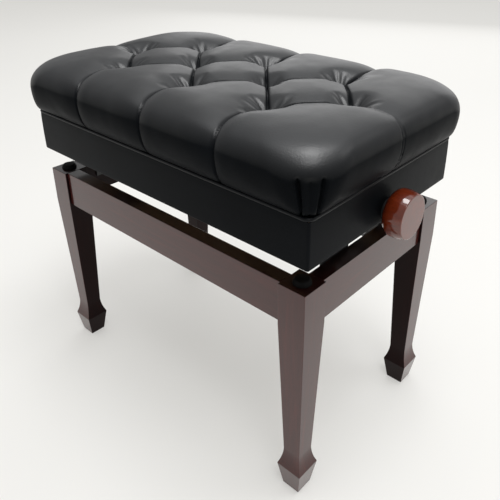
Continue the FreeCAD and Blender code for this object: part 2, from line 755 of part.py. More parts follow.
def make_all_pins():
    """Fixed pivots, centre pins and sliding ends of the arms."""
    ear_head = "bracket_inner - pin_head_thickness"
    make_pins("lower_pivot_pins", ear_head, "arm_a_outer + pin_play", "-pivot_x", "lower_pivot_z")
    make_pins("upper_pivot_pins", ear_head, "arm_b_outer + pin_play", "-pivot_x", "screw_z")
    make_pins("slide_pins", ear_head + " - open_clearance", "arm_b_outer", "slide_x", "lower_pivot_z")
    make_pins("centre_pins", "arm_a_inner - pin_head_thickness", "arm_b_outer + pin_play",
              "(slide_x - pivot_x) / 2", "(lower_pivot_z + screw_z) / 2")


def make_cross_rods():
    """Rods that tie the front arm of each pair to the back one."""
    tilt = math.radians(arm_tilt())
    rods = [
        ("lower_arm_rod", "rod_a_distance", "arm_a_inner", "lower_pivot_z", 1),
        ("upper_arm_rod", "arm_span - rod_b_setback", "arm_b_inner", "screw_z", -1),
    ]
    for name, distance, half_length, pivot_z, direction in rods:
        rod = doc.addObject("Part::Cylinder", name)
        bind(rod, Radius="rod_diameter / 2", Height="2 * (%s)" % half_length)
        x = value(distance) * math.cos(tilt) - value("pivot_x")
        z = value(pivot_z) + direction * value(distance) * math.sin(tilt)
        rod.Placement = place(x, half_length, z, Vector(1, 0, 0), 90)
        keep(rod, name)


# Screw, nut and knobs

def make_trunnion_nut():
    """Square nut with a round trunnion at each side, and the rings that hold the arms on it."""
    block = box_between("nut_block", ("slide_x - nut_side / 2", "-nut_side / 2", "screw_z - nut_side / 2"),
                        ("slide_x + nut_side / 2", "nut_side / 2", "screw_z + nut_side / 2"))
    half_bar = "(arm_a_outer + pin_play + pin_head_thickness)"
    bar = doc.addObject("Part::Cylinder", "nut_bar")
    bind(bar, Radius="pin_diameter / 2", Height="2 * %s" % half_bar)
    bar.Placement = place("slide_x", half_bar, "screw_z", Vector(1, 0, 0), 90)
    bore = doc.addObject("Part::Cylinder", "nut_bore")
    bind(bore, Radius="screw_diameter / 2 + nut_clearance", Height="nut_side + 2 * cut_margin")
    bore.Placement = place("slide_x - nut_side / 2 - cut_margin", "0", "screw_z", Vector(0, 1, 0), 90)
    keep(cut("trunnion_nut", fuse("nut_blank", block, bar), [bore]), "trunnion_nut")
    ring = revolved_body("trunnion_ring", [
        ("arm_a_outer + pin_play", "pin_diameter / 2 + seat_clearance"),
        ("arm_a_outer + pin_play + pin_head_thickness", "pin_diameter / 2 + seat_clearance"),
        ("arm_a_outer + pin_play + pin_head_thickness", "pin_head_diameter / 2"),
        ("arm_a_outer + pin_play", "pin_head_diameter / 2"),
    ])
    places = [place("slide_x", "0", "screw_z", Vector(0, 0, 1), turn) for turn in (-90, 90)]
    keep(group("trunnion_rings", ring, places), "trunnion_rings")


def make_lead_screw():
    """Rod from knob to knob with its two stop collars."""
    half = "knob_x + knob_bore_depth - seat_clearance"
    screw = doc.addObject("Part::Cylinder", "lead_screw")
    bind(screw, Radius="screw_diameter / 2", Height="2 * (%s)" % half)
    screw.Placement = place("-(%s)" % half, "0", "screw_z", Vector(0, 1, 0), 90)
    keep(screw, "lead_screw")
    collar = revolved_body("collar", [
        ("rail_inner_x - collar_play - collar_length", "screw_diameter / 2 + seat_clearance"),
        ("rail_inner_x - collar_play", "screw_diameter / 2 + seat_clearance"),
        ("rail_inner_x - collar_play", "collar_diameter / 2"),
        ("rail_inner_x - collar_play - collar_length", "collar_diameter / 2"),
    ])
    keep(group("screw_collars", collar, both_ends()), "screw_collars")


def both_ends():
    """Placements on the screw's axis for a piece at the right end and its twin at the left."""
    return [place("0", "0", "screw_z", Vector(0, 0, 1), turn) for turn in (0, 180)]


def make_bushings():
    """Flanged bushings in which the screw turns, one in each end rail."""
    flange_x = "box_length / 2"
    bushing = revolved_body("bushing", [
        ("rail_inner_x", "screw_diameter / 2 + pivot_clearance"),
        ("%s + bushing_flange_thickness" % flange_x, "screw_diameter / 2 + pivot_clearance"),
        ("%s + bushing_flange_thickness" % flange_x, "bushing_flange_diameter / 2"),
        (flange_x, "bushing_flange_diameter / 2"),
        (flange_x, "bushing_diameter / 2"),
        ("rail_inner_x", "bushing_diameter / 2"),
    ])
    keep(group("screw_bushings", bushing, both_ends()), "screw_bushings")


def make_knobs():
    """Turned wooden knobs: flat face, small round rim and a side that falls away to the back."""
    for side, turn in (("right", 0), ("left", 180)):
        knob = revolved_body("knob_" + side, [
            ("knob_bore_depth", "0"),
            ("knob_length", "0"),
            ("knob_length", "knob_diameter / 2 - knob_face_step - knob_rim"),
            ("knob_length - knob_rim", "knob_diameter / 2 - knob_face_step"),
            ("knob_widest", "knob_diameter / 2"),
            ("0", "knob_diameter / 2 - knob_back_step"),
            ("0", "screw_diameter / 2 + seat_clearance"),
            ("knob_bore_depth", "screw_diameter / 2 + seat_clearance"),
        ], {2: "knob_rim", 3: "knob_front_radius", 4: "knob_back_radius"})
        sign = 1 if turn == 0 else -1
        knob.Placement = place("%d * knob_x" % sign, "0", "screw_z", Vector(0, 0, 1), turn)
        keep(knob, "knob_" + side)


# Seat box

def bushing_hole(name):
    """Round hole along the screw's axis through both ends of the box."""
    hole = doc.addObject("Part::Cylinder", name)
    bind(hole, Radius="bushing_diameter / 2 + seat_clearance", Height="box_length + 2 * cut_margin")
    hole.Placement = place("-box_length / 2 - cut_margin", "0", "screw_z", Vector(0, 1, 0), 90)
    return hole


def make_box_rails():
    """Long rails over the full length, end rails between them."""
    for sign, side in ((-1, "front"), (1, "back")):
        inner, outer = "%d * rail_inner_y" % sign, "%d * rail_y" % sign
        low_y, high_y = (outer, inner) if sign < 0 else (inner, outer)
        name = "box_rail_" + side
        keep(box_between(name, ("-rail_x", low_y, "rail_bottom"), ("rail_x", high_y, "board_bottom")), name)
    for sign, side in ((-1, "left"), (1, "right")):
        inner, outer = "%d * rail_inner_x" % sign, "%d * rail_x" % sign
        low_x, high_x = (outer, inner) if sign < 0 else (inner, outer)
        name = "box_rail_" + side
        blank = box_between(name + "_blank", (low_x, "-rail_inner_y", "rail_bottom"),
                            (high_x, "rail_inner_y", "board_bottom"))
        keep(cut(name, blank, [bushing_hole(name + "_hole")]), name)


def make_seat_board():
    """Board over the rails, with pilot holes for the upper brackets."""
    blank = box_between("seat_board_blank", ("-rail_x", "-rail_y", "board_bottom"),
                        ("rail_x", "rail_y", "box_top"))
    holes = group("seat_board_holes", pilot_hole, upper_screw_places())
    keep(cut("seat_board", blank, [holes]), "seat_board")


def make_corner_blocks():
    """Three-cornered blocks inside the box, which come down on the bumpers."""
    sketch = doc.addObject("Sketcher::SketchObject", "corner_block_outline")
    for sign_x, sign_y, _ in corners():
        add_loop(sketch, [
            ("%d * rail_inner_x" % sign_x, "%d * rail_inner_y" % sign_y),
            ("%d * (rail_inner_x - corner_block_side)" % sign_x, "%d * rail_inner_y" % sign_y),
            ("%d * rail_inner_x" % sign_x, "%d * (rail_inner_y - corner_block_side)" % sign_y),
        ])
    bind(sketch, Placement__Base__z="rail_bottom - corner_block_drop")
    blocks = doc.addObject("Part::Extrusion", "box_corner_blocks")
    blocks.Base = sketch
    blocks.DirMode = "Normal"
    blocks.Solid = True
    bind(blocks, LengthFwd="corner_block_height")
    keep(blocks, "box_corner_blocks")


def make_border_cover():
    """Leather band round the box, turned in under the rails."""
    body = new_body("border_cover")
    outside = new_sketch(body, "XY_Plane", "(box_bottom + box_top) / 2")
    add_loop(outside, *rounded_rectangle("box_length / 2", "box_width / 2", "cover_corner_radius"))
    add_pad(body, outside, "border_height")
    hollow = new_sketch(body, "XY_Plane", "(rail_bottom + box_top + cut_margin) / 2")
    add_loop(hollow, [("-rail_x", "-rail_y"), ("rail_x", "-rail_y"),
                      ("rail_x", "rail_y"), ("-rail_x", "rail_y")])
    add_pocket(body, hollow, "box_top + cut_margin - rail_bottom")
    opening = new_sketch(body, "XY_Plane", "box_bottom")
    add_loop(opening, [("-rail_inner_x", "-rail_inner_y"), ("rail_inner_x", "-rail_inner_y"),
                       ("rail_inner_x", "rail_inner_y"), ("-rail_inner_x", "rail_inner_y")])
    add_pocket(body, opening, "2 * (cover_thickness + cut_margin)")
    round_hole = new_sketch(body, "YZ_Plane")
    add_circle(round_hole, "0", "screw_z", "bushing_diameter / 2 + seat_clearance")
    add_pocket(body, round_hole, "box_length + 2 * cut_margin")
    bottom = value("box_bottom")
    outer_edges = []
    for number, edge in enumerate(body.Shape.Edges, 1):
        box = edge.BoundBox
        outside_rails = max(abs(box.XMin), abs(box.XMax)) > value("rail_x") or max(
            abs(box.YMin), abs(box.YMax)) > value("rail_y")
        if abs(box.ZMin - bottom) < 1e-6 and abs(box.ZMax - bottom) < 1e-6 and outside_rails:
            outer_edges.append("Edge%d" % number)
    finished = body.Tip
    fillet = body.newObject("PartDesign::Fillet", "border_cover_edge")
    fillet.Base = (finished, outer_edges)
    bind(fillet, Radius="cover_edge_radius")
    keep(body, "border_cover")


def rounded_wire(half_x, half_y, radius, z):
    """Rectangle with round corners as a wire at one height, in numbers."""
    points = []
    for sign_x, sign_y in ((-1, -1), (1, -1), (1, 1), (-1, 1)):
        corner = Vector(sign_x * half_x, sign_y * half_y, z)
        to_x = Vector(-sign_x * radius, 0, 0)
        to_y = Vector(0, -sign_y * radius, 0)
        inner = radius * (1 - math.sqrt(0.5))
        middle = corner + Vector(-sign_x * inner, -sign_y * inner, 0)
        first, last = (to_y, to_x) if sign_x == sign_y else (to_x, to_y)
        points.append((corner + first, middle, corner + last))
    edges = []
    for number, (start, middle, end) in enumerate(points):
        edges.append(Part.Arc(start, middle, end).toShape())
        edges.append(Part.LineSegment(end, points[(number + 1) % 4][0]).toShape())
    return Part.Wire(edges)


def make_welt():
    """Piping that lies on the top edge of the border."""
    radius = value("welt_diameter") / 2
    height = value("box_top") + radius + value("seat_clearance")
    inset = radius - value("welt_proud")
    path = rounded_wire(value("box_length") / 2 - inset, value("box_width") / 2 - inset,
                        value("welt_corner_radius"), height)
    start = path.Edges[1].valueAt(path.Edges[1].FirstParameter)
    direction = path.Edges[1].tangentAt(path.Edges[1].FirstParameter)
    ring = Part.Wire([Part.makeCircle(radius, start, direction)])
    welt = doc.addObject("Part::Feature", "welt")
    sweep = Part.BRepOffsetAPI.MakePipeShell(Part.Wire(path.Edges[1:] + path.Edges[:1]))
    sweep.add(ring)
    sweep.build()
    sweep.makeSolid()
    welt.Shape = sweep.shape()
    keep(welt, "welt")


# Cushion

def tuft_places():
    """Ten tufts in three staggered rows, as pairs of numbers."""
    pitch = value("tuft_pitch")
    row = value("tuft_row")
    outer_rows = [(pitch * step, sign * row) for sign in (-1, 1) for step in (-1, 0, 1)]
    middle_row = [(pitch * step, 0) for step in (-1.5, -0.5, 0.5, 1.5)]
    return outer_rows, middle_row


def valley(width, depth, crown):
    """Half profile of a crease with a round shoulder that ends a little above the crown."""
    half = width / 2
    fall = depth + value("shoulder_rise")
    radius = (half * half + fall * fall) / (2 * fall)
    turn = math.asin(half / radius) / 2
    top = Vector(half, 0, crown + value("shoulder_rise"))
    shoulder = top + Vector(-radius * math.sin(turn), 0, radius * math.cos(turn) - radius)
    return Vector(0, 0, crown - depth), shoulder, top


def crease_cutter(start, end, width, depth, crown):
    """Straight crease from one place to another, with round shoulders and an open top."""
    bottom, shoulder, top = valley(width, depth, crown)
    lift = Vector(0, 0, depth)

    def flipped(point):
        return Vector(-point.x, point.y, point.z)

    edges = [
        Part.Arc(bottom, shoulder, top).toShape(),
        Part.LineSegment(top, top + lift).toShape(),
        Part.LineSegment(top + lift, flipped(top) + lift).toShape(),
        Part.LineSegment(flipped(top) + lift, flipped(top)).toShape(),
        Part.Arc(flipped(top), flipped(shoulder), bottom).toShape(),
    ]
    face = Part.Face(Part.Wire(edges))
    run = Vector(end[0] - start[0], end[1] - start[1], 0)
    cutter = face.extrude(Vector(0, run.Length, 0))
    heading = math.degrees(math.atan2(run.y, run.x)) - 90
    turned = FreeCAD.Rotation(Vector(0, 0, 1), heading)
    cutter.Placement = FreeCAD.Placement(Vector(start[0], start[1], 0), turned)
    return cutter


def tuft_cutter(place_xy, width, depth, crown):
    """Round pit at a tuft with the same shoulders as a crease."""
    bottom, shoulder, top = valley(width, depth, crown)
    axis_top = Vector(0, 0, crown + depth)
    rim_top = Vector(top.x, 0, crown + depth)
    edges = [
        Part.Arc(bottom, shoulder, top).toShape(),
        Part.LineSegment(top, rim_top).toShape(),
        Part.LineSegment(rim_top, axis_top).toShape(),
        Part.LineSegment(axis_top, bottom).toShape(),
    ]
    pit = Part.Face(Part.Wire(edges)).revolve(Vector(), Vector(0, 0, 1), 360)
    pit.translate(Vector(place_xy[0], place_xy[1], 0))
    return pit


def side_pleat(place_xy, direction, width, depth, reach):
    """Upright pleat in a side: a wedge that points into the cushion."""
    outward = Vector(direction[0], direction[1], 0)
    across = Vector(-outward.y, outward.x, 0)
    base = Vector(place_xy[0], place_xy[1], value("box_top + pleat_start"))
    tip = base - outward * depth
    mouth = base + outward * reach
    half = across * (width / 2)
    wedge = Part.Face(Part.makePolygon([tip, mouth + half, mouth - half, tip]))
    return wedge.extrude(Vector(0, 0, value("cushion_height")))


def cushion_blank():
    """Crowned closed form: upright foot behind the welt, swelling sides and a nearly level top."""
    half_x = value("box_length") / 2
    half_y = value("box_width") / 2
    foot = value("cushion_foot")
    height = value("cushion_height")
    bulge = value("cushion_bulge")
    corner = value("cushion_corner_radius")
    bottom = value("box_top")
    recess = value("welt_diameter + welt_gap - welt_proud")
    foot_wire = rounded_wire(half_x - recess, half_y - recess, corner, bottom)
    foot_solid = Part.Face(foot_wire).extrude(Vector(0, 0, foot))
    sections = []
    for level, share, turn in CUSHION_SECTIONS:
        z = bottom + foot + (height - foot) * level
        section_x = half_x + bulge * share
        section_y = half_y + bulge * share
        radius = min(corner * turn, CORNER_SHARE * min(section_x, section_y))
        sections.append(rounded_wire(section_x, section_y, radius, z))
    swell = Part.makeLoft(sections, True, False)
    return swell.fuse(foot_solid).removeSplitter()


def make_cushion():
    """Cushion with its tufts, the creases between them and the pleats that run to the sides."""
    crown = value("box_top") + value("cushion_height")
    outer_rows, middle_row = tuft_places()
    crease = (value("crease_width"), value("crease_depth"), crown)
    pleat = (value("pleat_width"), value("pleat_depth"), value("cushion_bulge"))
    side_y = value("box_width") / 2 + value("cushion_bulge")
    side_x = value("box_length") / 2 + value("cushion_bulge")
    cutters = []
    for tuft in outer_rows + middle_row:
        cutters.append(tuft_cutter(tuft, value("tuft_width"), value("tuft_depth"), crown))
    for tuft in outer_rows:
        for other in middle_row:
            if abs(tuft[0] - other[0]) < value("tuft_pitch"):
                cutters.append(crease_cutter(tuft, other, *crease))
        sign = 1 if tuft[1] > 0 else -1
        cutters.append(crease_cutter(tuft, (tuft[0], sign * side_y), *crease))
        cutters.append(side_pleat((tuft[0], sign * side_y), (0, sign), *pleat))
    for sign, tuft in ((-1, middle_row[0]), (1, middle_row[-1])):
        cutters.append(crease_cutter(tuft, (sign * side_x, 0), *crease))
        cutters.append(side_pleat((sign * side_x, 0), (sign, 0), *pleat))
    cushion = doc.addObject("Part::Feature", "cushion")
    cushion.Shape = cushion_blank().cut(cutters)
    keep(cushion, "cushion")


# Writing

def check_document():
    """Stop if any object failed or any sub-part has no valid solid."""
    doc.recompute()
    for thing in doc.Objects:
        if "Invalid" in thing.State or "Error" in thing.State:
            raise RuntimeError("%s failed: %s" % (thing.Label, thing.State))
    for node in nodes:
        if node.Shape.isNull() or not node.Shape.isValid() or not node.Shape.Solids:
            raise RuntimeError("%s has no valid solid" % node.Label)


def write_parts():
    """Write each sub-part under its own name."""
    os.makedirs("parts", exist_ok=True)
    for node in nodes:
        node.Shape.exportStep(os.path.join("parts", node.Label + ".step"))
        print("%-28s %d solid(s) %10.1f mm3" % (node.Label, len(node.Shape.Solids), node.Shape.Volume))


fill_sheet()
pilot_hole = make_pilot_hole()
make_legs()
make_aprons()
make_bumpers()
make_wood_screws()
make_lower_brackets()
make_upper_brackets()
make_arms()
make_all_pins()
make_cross_rods()
make_trunnion_nut()
make_lead_screw()
make_bushings()
make_knobs()
make_box_rails()
make_seat_board()
make_corner_blocks()
make_border_cover()
make_welt()
make_cushion()
check_document()
write_parts()
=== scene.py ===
"""Piano stool: tufted leather seat, polished wooden stand and a screw-driven lift, around its frame."""
import math
import random

import bmesh
import bpy
import numpy as np
from mathutils import Matrix, Vector, noise


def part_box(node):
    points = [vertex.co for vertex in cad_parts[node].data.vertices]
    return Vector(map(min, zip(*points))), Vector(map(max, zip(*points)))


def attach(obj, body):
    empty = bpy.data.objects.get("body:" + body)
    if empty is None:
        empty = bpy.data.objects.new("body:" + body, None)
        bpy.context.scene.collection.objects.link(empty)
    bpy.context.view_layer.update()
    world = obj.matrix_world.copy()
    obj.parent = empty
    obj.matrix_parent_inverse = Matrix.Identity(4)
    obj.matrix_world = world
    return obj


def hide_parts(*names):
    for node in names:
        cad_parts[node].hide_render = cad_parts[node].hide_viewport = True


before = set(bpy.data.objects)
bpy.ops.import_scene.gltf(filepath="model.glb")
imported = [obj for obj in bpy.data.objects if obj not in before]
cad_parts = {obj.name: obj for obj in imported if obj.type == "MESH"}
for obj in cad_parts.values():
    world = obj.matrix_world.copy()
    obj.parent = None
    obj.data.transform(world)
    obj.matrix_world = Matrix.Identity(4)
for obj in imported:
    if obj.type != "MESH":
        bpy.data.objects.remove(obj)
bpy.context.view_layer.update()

bl_info = {
    "name": "Piano stool",
    "version": (1, 0, 0),
    "blender": (4, 5, 0),
    "location": "View3D > Sidebar > Stool",
    "description": "Builds the looks of a height-adjustable piano stool around its packed frame",
    "category": "Object",
}

MM = 0.001
TINY = 1e-12
BORDER_LOW, BORDER_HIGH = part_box("border_cover")
SCREW_LOW, SCREW_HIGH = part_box("lead_screw")
SCREW_AXIS = (SCREW_LOW.z + SCREW_HIGH.z) / 2
CORNERS = [(-1, -1, "front_left"), (1, -1, "front_right"), (-1, 1, "back_left"), (1, 1, "back_right")]


# Sizes and colours that a user would change

class StoolCushionSettings(bpy.types.PropertyGroup):
    """Sizes of the tufted cushion"""
    tuft_pitch: bpy.props.FloatProperty(
        name="Tuft pitch", description="Tuft to tuft along a row", default=143.5 * MM, unit="LENGTH")
    tuft_row: bpy.props.FloatProperty(
        name="Tuft row", description="Row of tufts to the next row", default=78.5 * MM, unit="LENGTH")
    tuft_depth: bpy.props.FloatProperty(
        name="Tuft depth", description="Extra depth of the pit at a tuft", default=12 * MM, unit="LENGTH")
    tuft_width: bpy.props.FloatProperty(
        name="Tuft width", description="Radius of the pit at a tuft", default=38 * MM, unit="LENGTH")
    fold_depth: bpy.props.FloatProperty(
        name="Fold depth", description="Fall of the leather towards a fold", default=16 * MM, unit="LENGTH")
    fold_width: bpy.props.FloatProperty(
        name="Fold width", description="Reach of that fall to each side", default=56 * MM, unit="LENGTH")
    line_depth: bpy.props.FloatProperty(
        name="Line depth", description="Sharp line at the bottom of a fold", default=6 * MM, unit="LENGTH")
    line_width: bpy.props.FloatProperty(
        name="Line width", description="Reach of that line to each side", default=2.9 * MM, unit="LENGTH")
    wrinkles: bpy.props.IntProperty(
        name="Wrinkles", description="Small wrinkles round each tuft", default=11)
    wrinkle_depth: bpy.props.FloatProperty(
        name="Wrinkle depth", description="Depth of a small wrinkle", default=3.4 * MM, unit="LENGTH")
    swell: bpy.props.FloatProperty(
        name="Swell", description="Most that the simulated leather may move", default=3 * MM, unit="LENGTH")
    seed: bpy.props.IntProperty(name="Seed", description="Seed of the wrinkles", default=7)


class StoolFinishSettings(bpy.types.PropertyGroup):
    """Colours of the finishes"""
    leather: bpy.props.FloatVectorProperty(
        name="Leather", description="Black seat leather", default=(0.0042, 0.0050, 0.0062), subtype="COLOR")
    wood_dark: bpy.props.FloatVectorProperty(
        name="Dark grain", description="Dark streaks of the stand", default=(0.042, 0.0060, 0.0048),
        subtype="COLOR")
    wood_light: bpy.props.FloatVectorProperty(
        name="Light grain", description="Light streaks of the stand", default=(0.068, 0.0096, 0.0069),
        subtype="COLOR")
    knob_dark: bpy.props.FloatVectorProperty(
        name="Knob dark grain", description="Dark streaks of the knobs", default=(0.096, 0.0115, 0.0027),
        subtype="COLOR")
    knob_light: bpy.props.FloatVectorProperty(
        name="Knob light grain", description="Light streaks of the knobs", default=(0.150, 0.0195, 0.0038),
        subtype="COLOR")
    raw_dark: bpy.props.FloatVectorProperty(
        name="Raw wood dark", description="Dark streaks of the box wood", default=(0.20, 0.115, 0.055),
        subtype="COLOR")
    raw_light: bpy.props.FloatVectorProperty(
        name="Raw wood light", description="Light streaks of the box wood", default=(0.32, 0.21, 0.115),
        subtype="COLOR")
    black_steel: bpy.props.FloatVectorProperty(
        name="Black steel", description="Painted brackets and arms", default=(0.013, 0.013, 0.014),
        subtype="COLOR")
    zinc: bpy.props.FloatVectorProperty(
        name="Zinc", description="Screw, nut, pins and wood screws", default=(0.56, 0.56, 0.57),
        subtype="COLOR")
    rubber: bpy.props.FloatVectorProperty(
        name="Rubber", description="Bumpers on the legs", default=(0.0035, 0.0035, 0.0035), subtype="COLOR")
    eased_edge: bpy.props.FloatProperty(
        name="Eased edge", description="Rounding of the stand's edges", default=0.9 * MM, unit="LENGTH")


class StoolStageSettings(bpy.types.PropertyGroup):
    """Floor, light and camera"""
    floor: bpy.props.FloatVectorProperty(
        name="Floor", description="Plain pale floor", default=(0.82, 0.815, 0.80), subtype="COLOR")
    floor_white: bpy.props.FloatProperty(
        name="Floor white", description="Share of the floor that is plain white to the eye", default=0.4,
        subtype="FACTOR")
    ambient: bpy.props.FloatProperty(
        name="Ambient", description="Strength of the even light from all round", default=0.56)
    camera_place: bpy.props.FloatVectorProperty(
        name="Camera place", description="Where the camera stands", default=(0.60893, -0.60559, 0.75526),
        subtype="TRANSLATION", unit="LENGTH")
    camera_turn: bpy.props.FloatVectorProperty(
        name="Camera turn", description="How the camera is turned", subtype="EULER",
        default=(math.radians(64.7979), math.radians(0.3358), math.radians(42.0678)))
    camera_lens: bpy.props.FloatProperty(
        name="Camera lens", description="Focal length in millimetres on a 36 mm sensor", default=43.05)


# Node trees

def set_inputs(tree, node, inputs):
    """Set a node's inputs by name or number. A socket is linked, anything else is a plain value."""
    for name, value in inputs.items():
        if isinstance(value, bpy.types.NodeSocket):
            tree.links.new(value, node.inputs[name])
        else:
            node.inputs[name].default_value = value


def add_node(tree, kind, inputs=None, **settings):
    """New node with its settings, then its inputs."""
    node = tree.nodes.new(kind)
    for name, value in settings.items():
        setattr(node, name, value)
    set_inputs(tree, node, inputs or {})
    return node


def new_material(name):
    """Tree and Principled shader of a new material."""
    material = bpy.data.materials.new(name)
    material.use_nodes = True
    tree = material.node_tree
    tree.nodes.clear()
    shader = add_node(tree, "ShaderNodeBsdfPrincipled")
    add_node(tree, "ShaderNodeOutputMaterial", {"Surface": shader.outputs["BSDF"]})
    return tree, shader


def object_coordinates(tree, scale=(1, 1, 1)):
    """Object coordinates through a Mapping node."""
    place = add_node(tree, "ShaderNodeTexCoord").outputs["Object"]
    return add_node(tree, "ShaderNodeMapping", {"Vector": place, "Scale": scale}).outputs["Vector"]


def scaled_along(axis, scale):
    """Scale of a texture that differs along one axis."""
    return tuple(scale if name == axis else 1 for name in "XYZ")


def noise_texture(tree, vector, scale, detail=4.0, roughness=0.55, distortion=0.0):
    """Noise value on a vector."""
    return add_node(tree, "ShaderNodeTexNoise", {
        "Vector": vector, "Scale": scale, "Detail": detail, "Roughness": roughness, "Distortion": distortion,
    }).outputs["Fac"]


def colour_ramp(tree, factor, stops):
    """Colours by a factor: stops are positions with colours."""
    ramp = add_node(tree, "ShaderNodeValToRGB", {"Fac": factor})
    elements = ramp.color_ramp.elements
    while len(elements) < len(stops):
        elements.new(0.5)
    for element, (position, colour) in zip(elements, stops):
        element.position = position
        element.color = (*colour, 1)
    return ramp.outputs["Color"]


def spread(tree, factor, low, high):
    """Factor from 0 to 1 spread between two numbers."""
    inputs = {"Value": factor, "To Min": low, "To Max": high}
    return add_node(tree, "ShaderNodeMapRange", inputs).outputs["Result"]


def stored(tree, name):
    """Value that the mesh stores under a name."""
    return add_node(tree, "ShaderNodeAttribute", attribute_name=name).outputs["Fac"]


def multiplied(tree, colour, other, factor):
    """Colour multiplied by another, as far as a factor says."""
    return add_node(tree, "ShaderNodeMix", {"Factor": factor, "A": colour, "B": other},
                    data_type="RGBA", blend_type="MULTIPLY").outputs["Result"]


def add_bump(tree, shader, height, strength, distance, before=None):
    """Bump on the shader's normal. before is an earlier bump's normal."""
    bump = add_node(tree, "ShaderNodeBump", {"Height": height, "Strength": strength, "Distance": distance})
    if before:
        tree.links.new(before, bump.inputs["Normal"])
    tree.links.new(bump.outputs["Normal"], shader.inputs["Normal"])
    return bump.outputs["Normal"]


def shade(colour, factor):
    """A colour made lighter or darker."""
    return tuple(channel * factor for channel in colour)


# Finishes

def leather_material(name, colour):
    """Fine-grained leather: pebbled cells, soft creasing and a gloss from the mesh that holds painted sheen
    and shade.
    """
    tree, shader = new_material(name)
    vector = object_coordinates(tree)
    clouds = noise_texture(tree, vector, scale=14, detail=3)
    grease = noise_texture(tree, vector, scale=55)
    set_inputs(tree, shader, {
        "Base Color": colour_ramp(tree, clouds, [(0.3, shade(colour, 0.82)), (0.7, shade(colour, 1.2))]),
        "Roughness": spread(tree, grease, 0.33, 0.43),
        "Specular IOR Level": 0.3,
    })
    # Painted sheen and painted shade: the gloss from the mesh is higher where the cushion faces up, lower
    # along its folds.
    tree.links.new(spread(tree, stored(tree, "polish"), 0.02, 0.56), shader.inputs["Specular IOR Level"])
    cells = add_node(tree, "ShaderNodeTexVoronoi", {"Vector": vector, "Scale": 620}, feature="SMOOTH_F1")
    pebbles = add_bump(tree, shader, cells.outputs["Distance"], strength=0.24, distance=0.4 * MM)
    creasing = noise_texture(tree, vector, scale=160, detail=3, roughness=0.6, distortion=0.6)
    add_bump(tree, shader, creasing, strength=0.06, distance=0.6 * MM, before=pebbles)


def polished_wood(name, dark, light, along, ring_scale=1.0, coat_roughness=0.12, coat_ior=1.48):
    """Lacquered wood with streaks along one axis and fine pores, with painted shade where the mesh marks it:
    darker, no lacquer.
    """
    tree, shader = new_material(name)
    # Painted shade: faces marked by the mesh are darkened to this share of their colour.
    painted_shade_colour = (0.17, 0.17, 0.17, 1)
    vector = object_coordinates(tree, scaled_along(along, 0.06))
    streaks = noise_texture(tree, vector, scale=95 * ring_scale, detail=5, roughness=0.6, distortion=0.8)
    tone = colour_ramp(tree, streaks, [(0.32, dark), (0.52, shade(light, 0.72)), (0.72, light)])
    pores = noise_texture(tree, vector, scale=900, detail=2, roughness=0.5)
    pore_tone = colour_ramp(tree, pores, [(0.34, (0.35, 0.3, 0.3)), (0.46, (1, 1, 1))])
    tone = multiplied(tree, tone, pore_tone, 0.3)
    set_inputs(tree, shader, {
        "Base Color": multiplied(tree, tone, painted_shade_colour, stored(tree, "stained")),
        "Roughness": spread(tree, streaks, 0.30, 0.42),
        "Specular IOR Level": 0.1,
        "Coat Weight": 1.0,
        "Coat Roughness": coat_roughness,
        "Coat IOR": coat_ior,
    })
    # Painted shade: inward faces lose their lacquer, so that they show no reflection.
    tree.links.new(spread(tree, stored(tree, "bare"), 1.0, 0.04), shader.inputs["Coat Weight"])
    ripple = noise_texture(tree, object_coordinates(tree), scale=22, detail=2)
    add_bump(tree, shader, ripple, strength=0.05, distance=0.8 * MM)


def raw_wood(name, dark, light, along):
    """Unfinished plywood and softwood with streaks along one axis."""
    tree, shader = new_material(name)
    vector = object_coordinates(tree, scaled_along(along, 0.07))
    streaks = noise_texture(tree, vector, scale=130, detail=6, roughness=0.62, distortion=1.2)
    tone = colour_ramp(tree, streaks, [(0.3, dark), (0.7, light)])
    set_inputs(tree, shader, {"Base Color": tone, "Roughness": 0.72})
    add_bump(tree, shader, streaks, strength=0.25, distance=0.6 * MM)


def painted_steel(name, colour):
    """Black paint with a slight orange peel and worn spots."""
    tree, shader = new_material(name)
    vector = object_coordinates(tree)
    patches = noise_texture(tree, vector, scale=40, detail=5, roughness=0.65)
    tone = colour_ramp(tree, patches, [(0.35, colour), (0.75, shade(colour, 1.9))])
    set_inputs(tree, shader, {"Base Color": tone, "Roughness": spread(tree, patches, 0.32, 0.5)})
    add_bump(tree, shader, noise_texture(tree, vector, scale=700, detail=2), strength=0.12, distance=0.2 * MM)


def bright_zinc(name, colour, along):
    """Bright zinc plating with fine turning or drawing marks."""
    tree, shader = new_material(name)
    vector = object_coordinates(tree, scaled_along(along, 30))
    marks = noise_texture(tree, vector, scale=120, detail=3, roughness=0.5)
    clouds = noise_texture(tree, object_coordinates(tree), scale=60)
    tone = colour_ramp(tree, clouds, [(0.3, shade(colour, 0.8)), (0.7, colour)])
    roughness = spread(tree, marks, 0.24, 0.40)
    set_inputs(tree, shader, {"Base Color": tone, "Metallic": 1.0, "Roughness": roughness})
    add_bump(tree, shader, marks, strength=0.06, distance=0.2 * MM)


def moulded_rubber(name, colour):
    """Matt moulded rubber with a faint bloom."""
    tree, shader = new_material(name)
    vector = object_coordinates(tree)
    bloom = noise_texture(tree, vector, scale=180, roughness=0.6)
    tone = colour_ramp(tree, bloom, [(0.35, colour), (0.8, shade(colour, 2.2))])
    roughness = spread(tree, bloom, 0.58, 0.75)
    set_inputs(tree, shader, {"Base Color": tone, "Roughness": roughness, "Specular IOR Level": 0.1})
    add_bump(tree, shader, noise_texture(tree, vector, scale=1200, detail=2), strength=0.1, distance=0.2 * MM)


